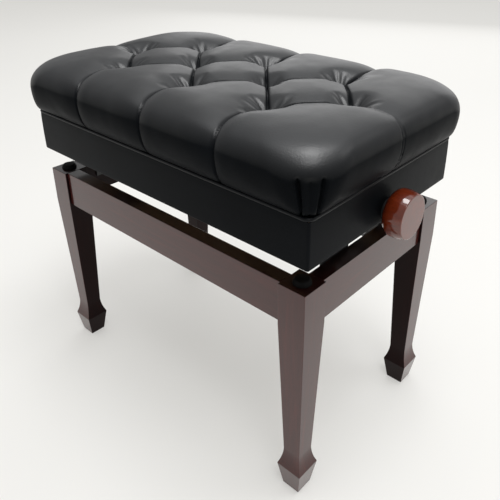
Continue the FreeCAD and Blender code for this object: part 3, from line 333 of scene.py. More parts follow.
class STOOL_OT_finishes(bpy.types.Operator):
    """Make the materials"""
    bl_idname = "stool.finishes"
    bl_label = "Finishes"

    def execute(self, context):
        colours = context.scene.stool_finish
        leather_material("seat_leather_black", colours.leather)
        for along, word in (("Z", "upright"), ("X", "lengthwise"), ("Y", "crosswise")):
            polished_wood("stand_wood_" + word, colours.wood_dark, colours.wood_light, along)
        polished_wood("knob_wood_gloss", colours.knob_dark, colours.knob_light, "X",
                      ring_scale=0.8, coat_roughness=0.03, coat_ior=1.6)
        for along, word in (("X", "lengthwise"), ("Y", "crosswise")):
            raw_wood("box_wood_" + word, colours.raw_dark, colours.raw_light, along)
            bright_zinc("lift_zinc_" + word, colours.zinc, along)
        painted_steel("lift_paint_black", colours.black_steel)
        moulded_rubber("bumper_rubber_black", colours.rubber)
        return {"FINISHED"}


# Meshes

def in_scene(name, data):
    """New object of some data, in the scene."""
    thing = bpy.data.objects.new(name, data)
    bpy.context.scene.collection.objects.link(thing)
    return thing


def set_material(mesh, name):
    """Make a material the mesh's only one."""
    mesh.materials.clear()
    mesh.materials.append(bpy.data.materials[name])


def new_piece(name, mesh, material):
    """Object at the origin with one material, given by its name."""
    set_material(mesh, material)
    return in_scene(name, mesh)


def paint(nodes, material):
    """Give CAD nodes their finish."""
    for node in nodes:
        set_material(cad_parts[node].data, material)


def smooth(mesh, angle=None):
    """Smooth shading, with edges sharper than the angle left sharp."""
    mesh.polygons.foreach_set("use_smooth", [True] * len(mesh.polygons))
    if angle is not None:
        mesh.set_sharp_from_angle(angle=angle)
    mesh.update()


def set_gloss(mesh, values):
    """Store the leather's gloss level at each vertex, or all over; on the cushion it holds painted sheen and
    shade.
    """
    values = np.broadcast_to(values, len(mesh.vertices)).astype(np.float32)
    mesh.attributes.new("polish", "FLOAT", "POINT").data.foreach_set("value", values)


def finished(piece, body, replaced):
    """Tie a finished piece to its body and the nodes that it stands for."""
    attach(piece, body)
    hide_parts(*replaced)


def evaluated_mesh(piece, name):
    """Plain mesh of a piece with its modifiers applied. The modifiers are removed."""
    graph = bpy.context.evaluated_depsgraph_get()
    mesh = bpy.data.meshes.new_from_object(piece.evaluated_get(graph))
    mesh.name = name
    piece.modifiers.clear()
    return mesh


def lofted_mesh(name, rings, closed):
    """Mesh of rings of points, each joined to the next. If it isn't closed, both ends are capped."""
    count = len(rings[0])
    index = np.arange(len(rings) * count).reshape(len(rings), count)
    if closed:
        index = np.concatenate([index, index[:1]])
    faces = []
    for ring, following in zip(index[:-1], index[1:]):
        faces += np.stack([ring, np.roll(ring, -1), np.roll(following, -1), following], axis=1).tolist()
    if not closed:
        faces += [index[0, ::-1].tolist(), index[-1].tolist()]
    mesh = bpy.data.meshes.new(name)
    mesh.from_pydata([point for ring in rings for point in ring], [], faces)
    shape = bmesh.new()
    shape.from_mesh(mesh)
    bmesh.ops.remove_doubles(shape, verts=shape.verts, dist=1e-7)
    bmesh.ops.recalc_face_normals(shape, faces=shape.faces)
    shape.to_mesh(mesh)
    shape.free()
    return mesh


def turned_rod(name, stations, segments=32):
    """Rod along X turned from stations of place and radius, closed at both ends."""
    turns = [2 * math.pi * step / segments for step in range(segments)]
    rings = [[(x, radius * math.cos(turn), radius * math.sin(turn)) for turn in turns]
             for x, radius in stations]
    return lofted_mesh(name, rings, closed=False)


# Cushion

PROFILE = [
    # out from the border, up from the seam and corner radius in millimetres, from the top to the seam
    (-60, 90, 0), (-45, 89.8, 28), (-30, 89, 50), (-8, 85.5, 66), (9, 78, 70), (18, 65.5, 66), (20.5, 51, 60),
    (18.6, 35, 53), (14, 21, 41), (8.5, 12, 28), (3, 7.4, 20), (-2.9, 5.2, 16), (-3.6, 0.4, 16),
]
CROWN_RISE = 0.8 * MM
TOP_ABOVE = 60 * MM
HALF_X, HALF_Y, SEAM_HEIGHT = BORDER_HIGH

# Steps of the simulated grid between tufts, and steps of the finished grid in each of them
COARSE_X, COARSE_Y = 14, 15
FINE = 3

# Shares of a pleat's length, and millimetres that the pleat strays sideways there
PLEAT_KNOTS = np.array([0, 0.25, 0.45, 0.62, 0.82, 1])
BACK_SWAY = np.array([5, 9, 9, 6, 3, 0])
FRONT_SWAY = np.array([-7, -6, 1, 4, 4, -1])
FRONT_LEAN = np.array([0, 0.5, 0.8, 0.9, 1, 1.1])

# Leather in the simulation, which lasts some frames
LAST_FRAME = 20
CLOTH = {
    "vertex_group_mass": "sewn", "quality": 5, "mass": 0.4, "tension_stiffness": 25,
    "compression_stiffness": 25, "shear_stiffness": 8, "bending_stiffness": 0.6, "use_pressure": True,
    "uniform_pressure_force": 4,
}


def natural_spline(knots, values, wanted):
    """Natural cubic spline through values at knots, at the wanted places."""
    count = len(knots)
    gaps = np.diff(knots)
    matrix = np.zeros((count, count))
    right = np.zeros(count)
    matrix[0, 0] = matrix[-1, -1] = 1
    for i in range(1, count - 1):
        matrix[i, i - 1:i + 2] = gaps[i - 1], 2 * (gaps[i - 1] + gaps[i]), gaps[i]
        right[i] = 6 * ((values[i + 1] - values[i]) / gaps[i] - (values[i] - values[i - 1]) / gaps[i - 1])
    bend = np.linalg.solve(matrix, right)
    cell = np.clip(np.searchsorted(knots, wanted) - 1, 0, count - 2)
    low, high, gap = knots[cell], knots[cell + 1], gaps[cell]
    a, b = (high - wanted) / gap, (wanted - low) / gap
    return (a * values[cell] + b * values[cell + 1]
            + ((a ** 3 - a) * bend[cell] + (b ** 3 - b) * bend[cell + 1]) * gap ** 2 / 6)


class SideProfile:
    """Upright section of the cushion from the edge of its level top to the seam, by the length of leather."""

    def __init__(self):
        table = np.array(PROFILE, float) * MM
        chord = np.concatenate([[0], np.cumsum(np.hypot(*np.diff(table[:, :2], axis=0).T))])
        fine = np.linspace(0, chord[-1], 800)
        self.out, self.up, corner = (natural_spline(chord, column, fine) for column in table.T)
        self.corner = np.maximum(corner, 0)
        self.length = np.concatenate([[0], np.cumsum(np.hypot(np.diff(self.out), np.diff(self.up)))])
        self.whole = self.length[-1]
        self.core_x = HALF_X + table[0, 0]
        self.core_y = HALF_Y + table[0, 0]

    def at(self, length):
        """Out from the border, height and corner radius after some length of leather."""
        return tuple(np.interp(length, self.length, curve) for curve in (self.out, self.up, self.corner))

    def run(self):
        """Shares of the length, with how far out and how high the leather is there."""
        share = np.linspace(0, 1, 40)
        out, up, _ = self.at(share * self.whole)
        return share, out, SEAM_HEIGHT + up


def ring_place(out, corner, along, end, half_along, half_across):
    """Place on one side of a ring: across the side and along it, with its half of each round corner."""
    straight = half_along + out - corner
    ratio = corner * (math.pi / 4) / straight
    bend = ratio * end / (1 + ratio)
    flat = end - bend
    size = np.abs(along)
    turn = (math.pi / 4) * np.clip((size - flat) / np.maximum(bend, TINY), 0, 1)
    level = np.minimum(size, flat) * straight / flat
    across = half_across + out - corner + corner * np.cos(turn)
    return across, np.where(size <= flat, level, straight + corner * np.sin(turn)) * np.sign(along)


def leather_sheet(profile, a, b):
    """Places of the leather's points: level inside the core, over the edge and down outside it."""
    beyond_a = np.abs(a) - profile.core_x
    beyond_b = np.abs(b) - profile.core_y
    ring = np.maximum(np.maximum(beyond_a, beyond_b), 0)
    out, up, corner = profile.at(ring)
    side_x, side_y = ring_place(out, corner, b, profile.core_y + ring, HALF_Y, HALF_X)
    front_y, front_x = ring_place(out, corner, a, profile.core_x + ring, HALF_X, HALF_Y)
    inside = ring <= 0
    on_side = beyond_a >= beyond_b
    x = np.where(inside, a, np.where(on_side, side_x * np.sign(a), front_x))
    y = np.where(inside, b, np.where(on_side, side_y, front_y * np.sign(b)))
    fall_a = np.clip(a / profile.core_x, -1, 1) ** 2
    fall_b = np.clip(b / profile.core_y, -1, 1) ** 2
    return np.stack([x, y, SEAM_HEIGHT + up + CROWN_RISE * (1 - fall_a) * (1 - fall_b)], axis=-1)


def grid_axis(reach, step):
    """Even steps from the middle out to both ends, the last one a little longer or shorter."""
    count = round(reach / step)
    steps = np.arange(-count, count + 1) * step
    steps[0], steps[-1] = -reach, reach
    return steps


def grid_normals(points):
    """Outward normals of a grid of points, as rows."""
    normals = np.cross(np.gradient(points, axis=0), np.gradient(points, axis=1)).reshape(-1, 3)
    return normals / np.maximum(np.linalg.norm(normals, axis=1, keepdims=True), TINY)


class Fold:
    """A line on the leather: a wide fall towards it, steeper on one side for a pleat, and a narrow groove."""

    def __init__(self, points, fall=0, reach=MM, line=0, line_reach=MM, steep_side=(0, 0, 0), steep_reach=MM):
        self.points = np.asarray(points, float)
        self.fall, self.reach, self.line, self.line_reach, self.steep_reach = (
            np.broadcast_to(np.asarray(values, float), len(self.points))
            for values in (fall, reach, line, line_reach, steep_reach))
        self.steep_side = np.asarray(steep_side, float)

    def near(self, places, margin):
        """Numbers of the places inside the line's box and a margin."""
        low = self.points.min(0) - margin
        high = self.points.max(0) + margin
        return np.flatnonzero(((places >= low) & (places <= high)).all(1))

    def nearest(self, places):
        """Distance of places to the line, and where along the line their nearest points are."""
        start, step = self.points[:-1], np.diff(self.points, axis=0)
        span = np.maximum((step ** 2).sum(1), TINY)
        best = np.full(len(places), np.inf)
        where = np.zeros(len(places))
        for number in range(len(step)):
            share = np.clip(((places - start[number]) @ step[number]) / span[number], 0, 1)
            gap = np.linalg.norm(places - start[number] - share[:, None] * step[number], axis=1)
            closer = gap < best
            best[closer] = gap[closer]
            where[closer] = number + share[closer]
        return best, where

    def read(self, values, where):
        """Values of the line's points, read at places along it."""
        return np.interp(where, np.arange(len(values)), values)

    def spots(self, where):
        """Points at places along the line."""
        return np.stack([self.read(column, where) for column in self.points.T], axis=1)

    def reach_at(self, places, where):
        """Reach of the fall at places whose nearest points on the line are known."""
        beyond = (places - self.spots(where)) @ self.steep_side > 0
        return np.where(beyond, self.read(self.steep_reach, where), self.read(self.reach, where))


def by_share(share, *stops):
    """Values along a line, from stops of share and value."""
    return np.interp(share, *zip(*stops))


def tuft_rows(settings):
    """Tufts of the outer rows and of the middle row, in three staggered rows."""
    pitch, row = settings.tuft_pitch, settings.tuft_row
    outer = [(pitch * step, sign * row) for sign in (-1, 1) for step in (-1, 0, 1)]
    return outer, [(pitch * step, 0.0) for step in (-1.5, -0.5, 0.5, 1.5)]


def from_tufts(settings, places):
    """Distance of places to each tuft in turn, seen from above. Places down the sides are endlessly far."""
    outer, middle = tuft_rows(settings)
    for tuft in outer + middle:
        far = np.hypot(places[:, 0] - tuft[0], places[:, 1] - tuft[1])
        yield np.where(places[:, 2] > SEAM_HEIGHT + TOP_ABOVE, far, np.inf)


def diamond_folds(settings, tuft, middle, level):
    """Folds from a tuft of an outer row to its neighbours in the middle row, shallower half way."""
    points = 24
    depth = settings.fold_depth * (1 - 0.5 * np.sin(np.linspace(0, np.pi, points)) ** 0.8)
    neighbours = [other for other in middle if abs(tuft[0] - other[0]) < settings.tuft_pitch]
    return [Fold(np.linspace((*tuft, level), (*other, level), points), depth, settings.fold_width,
                 settings.line_depth, 0.75 * settings.line_width) for other in neighbours]


def side_pleat(settings, profile, tuft, level):
    """Pleat from a tuft of an outer row over the front or back edge to the seam, steep on its right."""
    sign = math.copysign(1, tuft[1])
    sway = BACK_SWAY
    if sign < 0:
        sway = FRONT_SWAY + FRONT_LEAN * by_share(tuft[0] / settings.tuft_pitch, (-1, 11), (0, 9), (1, 1.5))
    share, out, up = profile.run()
    aside = natural_spline(PLEAT_KNOTS, sway, share) * MM
    path = np.concatenate([[(*tuft, level)], np.stack([tuft[0] + aside, sign * (HALF_Y + out), up], axis=1)])
    share = np.linspace(0, 1, len(path))
    fall = by_share(share, (0, 0.95), (0.12, 0.72), (0.25, 0.58), (0.45, 0.42), (0.65, 0.2), (1, 0.02))
    reach = settings.fold_width * by_share(share, (0, 1), (0.2, 1.05), (0.6, 0.9), (1, 0.5))
    line = by_share(share, (0, 0.9), (0.15, 0.65), (0.55, 0.65), (0.96, 0.6), (1, 0.1))
    line_reach = by_share(share, (0, 1), (0.3, 1.15), (0.55, 0.95), (1, 0.75))
    steep_reach = reach * by_share(share, (0, 1), (0.06, 1), (0.2, 0.5), (1, 0.5))
    return Fold(path, settings.fold_depth * fall, reach, settings.line_depth * line,
                settings.line_width * line_reach, (1, 0, 0), steep_reach)


def end_folds(settings, profile, tuft, level):
    """Fold from an end tuft that fades over the edge, and two shallow seams from there to the border."""
    seam_apart, seam_depth, seam_reach = 2.8 * MM, 0.5 * MM, 1.9 * MM
    share, out, up = profile.run()
    aside = by_share(share, (0, 0), (0.25, -5), (0.62, -10), (1, -6)) * MM
    path = np.stack([math.copysign(1, tuft[0]) * (HALF_X + out), aside, up], axis=1)
    path = np.concatenate([[(*tuft, level)], path])
    share = np.linspace(0, 1, len(path))
    fall = settings.fold_depth * by_share(share, (0, 0.85), (0.2, 0.5), (0.4, 0.24), (0.6, 0.06), (1, 0))
    line = settings.line_depth * by_share(share, (0, 0.9), (0.1, 0.4), (0.2, 0), (1, 0))
    folds = [Fold(path, fall, settings.fold_width, line, settings.line_width)]
    lower = share > 0.41
    seam = seam_depth * by_share(share[lower], (0.4, 0), (0.5, 1), (0.95, 1), (1, 0.2))
    for beside in (-seam_apart, seam_apart):
        folds.append(Fold(path[lower] + [0, beside, 0], line=seam, line_reach=seam_reach))
    return folds


def dart_line(profile, sign_x, sign_y, beside):
    """Line down a corner to the seam, beside the corner's middle by some millimetres."""
    lengths = profile.whole * np.linspace(0.6, 1, len(beside))
    out, up, corner = profile.at(lengths)
    turn = math.pi / 4 + np.arcsin(beside * MM / corner)
    x = HALF_X + out - corner + corner * np.sin(turn)
    y = HALF_Y + out - corner + corner * np.cos(turn)
    return np.stack([sign_x * x, sign_y * y, SEAM_HEIGHT + up], axis=1)


def corner_darts(profile, sign_x, sign_y):
    """Two darts at a corner that draw together to the seam, and the tuck between them."""
    share = np.linspace(0, 1, 24)
    line = 9 * MM * by_share(share, (0, 0), (0.08, 1), (0.5, 0.9), (0.92, 0.4), (1, 0))
    line_reach = MM * by_share(share, (0, 3), (0.12, 4.8), (1, 1.1))
    beside = 15 - 8 * share
    folds = []
    for side in (-1, 1):
        path = dart_line(profile, sign_x, sign_y, side * beside)
        folds.append(Fold(path, line=line, line_reach=line_reach))
    tuck = 5 * MM * by_share(share, (0, 0), (0.1, 1), (0.5, 0.6), (0.95, 0))
    folds.append(Fold(dart_line(profile, sign_x, sign_y, 0 * share), tuck, (18 - 10 * share) * MM))
    return folds


def cushion_folds(settings, profile):
    """Folds between the tufts, pleats to the sides and ends, and darts at the corners."""
    outer, middle = tuft_rows(settings)
    level = SEAM_HEIGHT + profile.up[0] + 0.5 * CROWN_RISE
    folds = []
    for tuft in outer:
        folds += diamond_folds(settings, tuft, middle, level)
        folds.append(side_pleat(settings, profile, tuft, level))
    for tuft in (middle[0], middle[-1]):
        folds += end_folds(settings, profile, tuft, level)
    for sign_x, sign_y, _ in CORNERS:
        folds += corner_darts(profile, sign_x, sign_y)
    return folds


def small_wrinkles(settings, profile):
    """Short wrinkles that run out from each tuft, none of them close to one of its folds."""
    chance = random.Random(settings.seed)
    outer, middle = tuft_rows(settings)
    slope = math.atan2(settings.tuft_row, settings.tuft_pitch / 2)
    start, clear_of_fold = 5 * MM, 0.2
    share = np.linspace(0, 1, 10)
    level = np.full(len(share), SEAM_HEIGHT + profile.up[0])
    folds = []
    for tuft in outer + middle:
        busy = [slope, math.pi - slope, -slope, slope - math.pi]
        if tuft in outer:
            busy = busy[2:] if tuft[1] > 0 else busy[:2]
            busy.append(math.copysign(math.pi / 2, tuft[1]))
        for number in range(settings.wrinkles):
            heading = 2 * math.pi * (number + chance.uniform(-0.3, 0.3)) / settings.wrinkles
            length = chance.uniform(18, 40) * MM
            bend = chance.uniform(-0.3, 0.3)
            depth = settings.wrinkle_depth * chance.uniform(0.5, 1.1)
            if min(abs(math.remainder(heading - other, 2 * math.pi)) for other in busy) < clear_of_fold:
                continue
            far = start + share * length
            turn = heading + bend * share
            path = np.stack([tuft[0] + far * np.cos(turn), tuft[1] + far * np.sin(turn), level], axis=1)
            line = depth * np.sin(np.pi * (0.3 + 0.7 * share))
            folds.append(Fold(path, line=line, line_reach=(4.2 + 4.6 * share) * MM))
    return folds


def wrinkle_depths(places, wrinkles):
    """How deep the small wrinkles are at places."""
    depths = np.zeros(len(places))
    for wrinkle in wrinkles:
        chosen = wrinkle.near(places, wrinkle.line_reach.max())
        gap, where = wrinkle.nearest(places[chosen])
        close = np.clip(1 - gap / wrinkle.read(wrinkle.line_reach, where), 0, 1)
        groove = wrinkle.read(wrinkle.line, where) * close * close * (3 - 2 * close)
        depths[chosen] = np.maximum(depths[chosen], groove)
    return depths


def sunk(places, normals, folds, settings, wrinkles=None):
    """Places sunk at folds and tufts, and painted shade that takes gloss off at fold lines. Narrow lines come
    with wrinkles.
    """
    power = 4
    wide, narrow, painted_crease_shade = np.zeros((3, len(places)))
    for fold in folds:
        chosen = fold.near(places, max(fold.reach.max(), fold.line_reach.max()))
        gap, where = fold.nearest(places[chosen])
        close = np.clip(1 - gap / fold.reach_at(places[chosen], where), 0, 1)
        wide[chosen] += (fold.read(fold.fall, where) * (0.6 * close ** 2 + 0.4 * close ** 4)) ** power
        line = fold.read(fold.line, where)
        apart = gap / fold.read(fold.line_reach, where)
        narrow[chosen] = np.maximum(narrow[chosen], line * np.clip(1 - apart, 0, 1) ** 1.6)
        # Painted shade: gloss is taken off along each fold line, out to twice the line's reach.
        painted_crease_shade[chosen] = np.maximum(painted_crease_shade[chosen], line * np.clip(2 - apart, 0, 1) / settings.line_depth)
    depth = wide ** (1 / power)
    for far in from_tufts(settings, places):
        depth += settings.tuft_depth * np.clip(1 - far / settings.tuft_width, 0, 1) ** 1.7
    if wrinkles is not None:
        depth += narrow + wrinkle_depths(places, wrinkles)
    return places - normals * depth[:, None], np.minimum(painted_crease_shade, 1)


def snapped(places, folds, reach):
    """Places that lie close to a fold's line, moved onto it, so that the line stays sharp."""
    moved = places.copy()
    best = np.full(len(places), reach)
    for fold in folds:
        chosen = fold.near(places, reach)
        gap, where = fold.nearest(places[chosen])
        closer = gap < best[chosen]
        best[chosen[closer]] = gap[closer]
        moved[chosen[closer]] = fold.spots(where[closer])
    return moved


def grid_mesh(name, points):
    """Mesh of a grid of points, with a narrow skirt and one flat face below."""
    count_a, count_b = points.shape[:2]
    index = np.arange(count_a * count_b).reshape(count_a, count_b)
    quads = np.stack([index[:-1, :-1], index[1:, :-1], index[1:, 1:], index[:-1, 1:]], axis=-1).reshape(-1, 4)
    rim = np.concatenate([index[:-1, 0], index[-1, :-1], index[:0:-1, -1], index[0, :0:-1]])
    inner = points.reshape(-1, 3)[rim] * (0.9, 0.9, 1)
    inner_index = np.arange(len(rim)) + count_a * count_b
    skirt = np.stack([np.roll(rim, -1), rim, inner_index, np.roll(inner_index, -1)], axis=-1)
    mesh = bpy.data.meshes.new(name)
    verts = np.concatenate([points.reshape(-1, 3), inner])
    mesh.from_pydata(verts.tolist(), [], quads.tolist() + skirt.tolist() + [inner_index[::-1].tolist()])
    mesh.update()
    return mesh


def sewn(places, folds, settings):
    """How firmly each place is held: fully at the seam and the tufts, and mostly at the folds."""
    held = np.clip(1.6 - (places[:, 2] - SEAM_HEIGHT) / (8 * MM), 0, 1)
    for fold in folds:
        gap, _ = fold.nearest(places)
        held = np.maximum(held, 0.75 * np.clip(1.4 - gap / (7 * MM), 0, 1))
    for far in from_tufts(settings, places):
        held = np.maximum(held, far < 9 * MM)
    return held


def swollen(points, held, most):
    """How far a short cloth simulation with air behind it moves the points of a grid, some held by sewing."""
    mesh = grid_mesh("swelling", points)
    piece = in_scene("swelling", mesh)
    pins = piece.vertex_groups.new(name=CLOTH["vertex_group_mass"])
    for number, weight in enumerate(held):
        if weight > 0.01:
            pins.add([number], float(weight), "REPLACE")
    pins.add(list(range(len(held), len(mesh.vertices))), 1.0, "REPLACE")
    cloth = piece.modifiers.new("leather", "CLOTH")
    for name, value in CLOTH.items():
        setattr(cloth.settings, name, value)
    cloth.settings.effector_weights.gravity = 0
    cloth.collision_settings.use_collision = False
    cloth.point_cache.frame_start = 1
    cloth.point_cache.frame_end = LAST_FRAME
    for number in range(1, LAST_FRAME + 1):
        bpy.context.scene.frame_set(number)
    settled = evaluated_mesh(piece, "settled")
    places = np.zeros(len(settled.vertices) * 3, np.float32)
    settled.vertices.foreach_get("co", places)
    bpy.context.scene.frame_set(1)
    bpy.data.objects.remove(piece)
    bpy.data.meshes.remove(settled)
    bpy.data.meshes.remove(mesh)
    move = places.reshape(-1, 3)[:len(held)].reshape(points.shape) - points
    size = np.linalg.norm(move, axis=-1, keepdims=True)
    return move * np.minimum(1, most / np.maximum(size, TINY))


def resampled(grid, old, new):
    """Grid of values on a finer first axis, with its first two axes exchanged."""
    layers = np.moveaxis(grid, -1, 0)
    return np.stack([[np.interp(new, old, row) for row in layer.T] for layer in layers], axis=-1)


def refined(coarse, old_axes, new_axes):
    """Grid of values on finer axes, then smoothed so that the coarse cells don't show."""
    full = coarse
    for old, new in zip(old_axes, new_axes):
        full = resampled(full, old, new)
    for _ in range(3):
        padded = np.pad(full, ((1, 1), (1, 1), (0, 0)), mode="edge")
        full = (padded[:-2, 1:-1] + padded[2:, 1:-1] + padded[1:-1, :-2] + padded[1:-1, 2:] + 4 * full) / 8
    return full


def unevenness(places):
    """Small swells and hollows of the stuffing, none at the seam."""
    spots = [Vector(place) for place in places]
    heights = np.array([0.7 * noise.noise(spot * 16) + 0.25 * noise.noise(spot * 45) for spot in spots])
    return heights * MM * np.clip((places[:, 2] - SEAM_HEIGHT) / (12 * MM), 0, 1)


def cushion_points(settings):
    """Grid of the finished cushion's points, and the gloss of each, with painted sheen and painted shade."""
    profile = SideProfile()
    folds = cushion_folds(settings, profile)
    reach_and_step = [(profile.core_x + profile.whole, settings.tuft_pitch / 2 / COARSE_X),
                      (profile.core_y + profile.whole, settings.tuft_row / COARSE_Y)]
    fine = [grid_axis(reach, step / FINE) for reach, step in reach_and_step]
    base = leather_sheet(profile, *np.meshgrid(*fine, indexing="ij"))
    normals = grid_normals(base)
    flat = snapped(base.reshape(-1, 3), folds, 0.8 * MM)
    places, painted_crease_shade = sunk(flat, normals, folds, settings, small_wrinkles(settings, profile))
    places = (places + normals * unevenness(places)[:, None]).reshape(base.shape)
    coarse = [grid_axis(reach, step) for reach, step in reach_and_step]
    rough = leather_sheet(profile, *np.meshgrid(*coarse, indexing="ij"))
    spots = rough.reshape(-1, 3)
    start, _ = sunk(spots, grid_normals(rough), folds, settings)
    move = swollen(start.reshape(rough.shape), sewn(spots, folds, settings), settings.swell)
    places += refined(move, coarse, fine)
    # Painted sheen: more gloss where the leather faces up; painted shade: less gloss along the fold lines.
    painted_gloss = np.clip((normals[:, 2] - 0.1) / 0.6, 0, 1) * (1 - 0.9 * painted_crease_shade)
    return places, painted_gloss


class STOOL_OT_cushion(bpy.types.Operator):
    """Make the tufted leather cushion"""
    bl_idname = "stool.cushion"
    bl_label = "Cushion"

    def execute(self, context):
        points, painted_gloss = cushion_points(context.scene.stool_cushion)
        mesh = grid_mesh("tufted_cushion", points)
        set_gloss(mesh, np.pad(painted_gloss, (0, len(mesh.vertices) - len(painted_gloss))))
        smooth(mesh)
        piece = new_piece("tufted_cushion", mesh, "seat_leather_black")
        finished(piece, "seat", ["cushion"])
        return {"FINISHED"}


# Border and welt

def rounded_path(half_x, half_y, radius, steps):
    """Points round a rectangle with round corners, anticlockwise from above, and their outward directions."""
    points = []
    outward = []
    for number, (sign_x, sign_y) in enumerate(((1, -1), (1, 1), (-1, 1), (-1, -1))):
        centre = Vector((sign_x * (half_x - radius), sign_y * (half_y - radius)))
        for step in range(steps + 1):
            turn = (number - 1 + step / steps) * math.pi / 2
            direction = Vector((math.cos(turn), math.sin(turn)))
            points.append(centre + direction * radius)
            outward.append(direction)
    return points, outward


def border_section():
    """Outline of the border's leather: outer face, soft lower edge, part turned in below, and inner face."""
    low, high = BORDER_LOW.z, BORDER_HIGH.z
    thick, edge, turned_in, fullness = 1.5 * MM, 2.4 * MM, 19.5 * MM, 0.35 * MM
    outline = [(-thick, high), (-0.25 * thick, high)]
    for share in np.linspace(0, 1, 11)[1:]:
        outline.append((fullness * math.sin(math.pi * share), high - share * (high - low - edge)))
    for turn in np.linspace(0, math.pi / 2, 7)[1:]:
        outline.append((-edge + edge * math.cos(turn), low + edge - edge * math.sin(turn)))
    outline += [(-turned_in, low), (-turned_in, low + thick), (-edge, low + thick), (-thick, low + edge)]
    return outline


def add_round_hole(piece, radius, height):
    """Cut a round hole along X through both ends of a piece."""
    drill = bpy.data.meshes.new("drill")
    shape = bmesh.new()
    turn = Matrix.Translation((0, 0, height)) @ Matrix.Rotation(math.pi / 2, 4, "Y")
    bmesh.ops.create_cone(shape, cap_ends=True, segments=48, radius1=radius, radius2=radius, depth=0.7,
                          matrix=turn)
    shape.to_mesh(drill)
    shape.free()
    tool = in_scene("drill", drill)
    boolean = piece.modifiers.new("hole", "BOOLEAN")
    boolean.operation = "DIFFERENCE"
    boolean.solver = "EXACT"
    boolean.object = tool
    piece.data = evaluated_mesh(piece, piece.name)
    bpy.data.objects.remove(tool)
    bpy.data.meshes.remove(drill)


class STOOL_OT_border(bpy.types.Operator):
    """Make the leather border of the seat box"""
    bl_idname = "stool.border"
    bl_label = "Border"

    def execute(self, context):
        corner_radius, hole_radius, polish = 3.5 * MM, 9.05 * MM, 0.035
        path, outward = rounded_path(BORDER_HIGH.x, BORDER_HIGH.y, corner_radius, 6)
        section = border_section()
        rings = [[(*(point + direction * out), height) for out, height in section]
                 for point, direction in zip(path, outward)]
        mesh = lofted_mesh("border_leather", rings, closed=True)
        piece = new_piece("border_leather", mesh, "seat_leather_black")
        add_round_hole(piece, hole_radius, SCREW_AXIS)
        smooth(piece.data, math.radians(50))
        set_gloss(piece.data, polish)
        finished(piece, "seat", ["border_cover"])
        return {"FINISHED"}


# Geometry Nodes

def new_tree(name, inputs):
    """Geometry Nodes tree with inputs of name, socket type and default, and the sockets that give them."""
    tree = bpy.data.node_groups.new(name, "GeometryNodeTree")
    for label, kind, default in [("Geometry", "NodeSocketGeometry", None), *inputs,
                                 ("Material", "NodeSocketMaterial", None)]:
        socket = tree.interface.new_socket(label, in_out="INPUT", socket_type=kind)
        if default is not None:
            socket.default_value = default
    tree.interface.new_socket("Geometry", in_out="OUTPUT", socket_type="NodeSocketGeometry")
    return tree, add_node(tree, "NodeGroupInput").outputs


def close_tree(tree, source, given):
    """End a tree in Realize Instances and Set Material."""
    real = add_node(tree, "GeometryNodeRealizeInstances", {"Geometry": source})
    finish = add_node(tree, "GeometryNodeSetMaterial", {
        "Geometry": real.outputs["Geometry"], "Material": given["Material"]})
    add_node(tree, "NodeGroupOutput", {"Geometry": finish.outputs["Geometry"]})
    return tree


def grown_piece(name, start_mesh, tree, values, material):
    """Piece made by a tree from a starting mesh, turned into a plain mesh."""
    piece = new_piece(name, start_mesh, material)
    modifier = piece.modifiers.new("grow", "NODES")
    modifier.node_group = tree
    values = {**values, "Material": bpy.data.materials[material]}
    for item in tree.interface.items_tree:
        if item.in_out == "INPUT" and item.name in values:
            modifier[item.identifier] = values[item.name]
    piece.data = evaluated_mesh(piece, name)
    return piece


def welt_tree():
    """Tree that lays a cord along a closed line of edges, a little uneven as hand-laid piping is."""
    tree, given = new_tree("welt_along_seam", [
        ("Radius", "NodeSocketFloat", 2.5 * MM),
        ("Unevenness", "NodeSocketFloat", 0.12 * MM),
    ])
    curve = add_node(tree, "GeometryNodeMeshToCurve", {"Mesh": given["Geometry"]})
    ring = add_node(tree, "GeometryNodeCurvePrimitiveCircle", {"Resolution": 14, "Radius": given["Radius"]})
    tube = add_node(tree, "GeometryNodeCurveToMesh", {
        "Curve": curve.outputs["Curve"], "Profile Curve": ring.outputs["Curve"]})
    texture = add_node(tree, "ShaderNodeTexNoise", {"Scale": 70})
    centred = add_node(tree, "ShaderNodeVectorMath", {
        0: texture.outputs["Color"], 1: (0.5, 0.5, 0.5)}, operation="SUBTRACT")
    scaled = add_node(tree, "ShaderNodeVectorMath", {
        0: centred.outputs["Vector"], "Scale": given["Unevenness"]}, operation="SCALE")
    moved = add_node(tree, "GeometryNodeSetPosition", {
        "Geometry": tube.outputs["Mesh"], "Offset": scaled.outputs["Vector"]})
    shaded = add_node(tree, "GeometryNodeSetShadeSmooth", {"Geometry": moved.outputs["Geometry"]})
    return close_tree(tree, shaded.outputs["Geometry"], given)


class STOOL_OT_welt(bpy.types.Operator):
    """Lay the piping along the seam"""
    bl_idname = "stool.welt"
    bl_label = "Welt"

    def execute(self, context):
        corner_radius, spacing, polish = 8 * MM, 6 * MM, 0.22
        low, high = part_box("welt")
        radius = (high.z - low.z) / 2
        path, _ = rounded_path(high.x - radius, high.y - radius, corner_radius, 8)
        places = []
        for point, following in zip(path, path[1:] + path[:1]):
            pieces = max(1, round((following - point).length / spacing))
            for step in range(pieces):
                places.append((*point.lerp(following, step / pieces), (low.z + high.z) / 2))
        mesh = bpy.data.meshes.new("seam_welt")
        mesh.from_pydata(places, [(number, (number + 1) % len(places)) for number in range(len(places))], [])
        piece = grown_piece("seam_welt", mesh, welt_tree(), {"Radius": radius}, "seat_leather_black")
        set_gloss(piece.data, polish)
        finished(piece, "seat", ["welt"])
        return {"FINISHED"}


# Stand and box

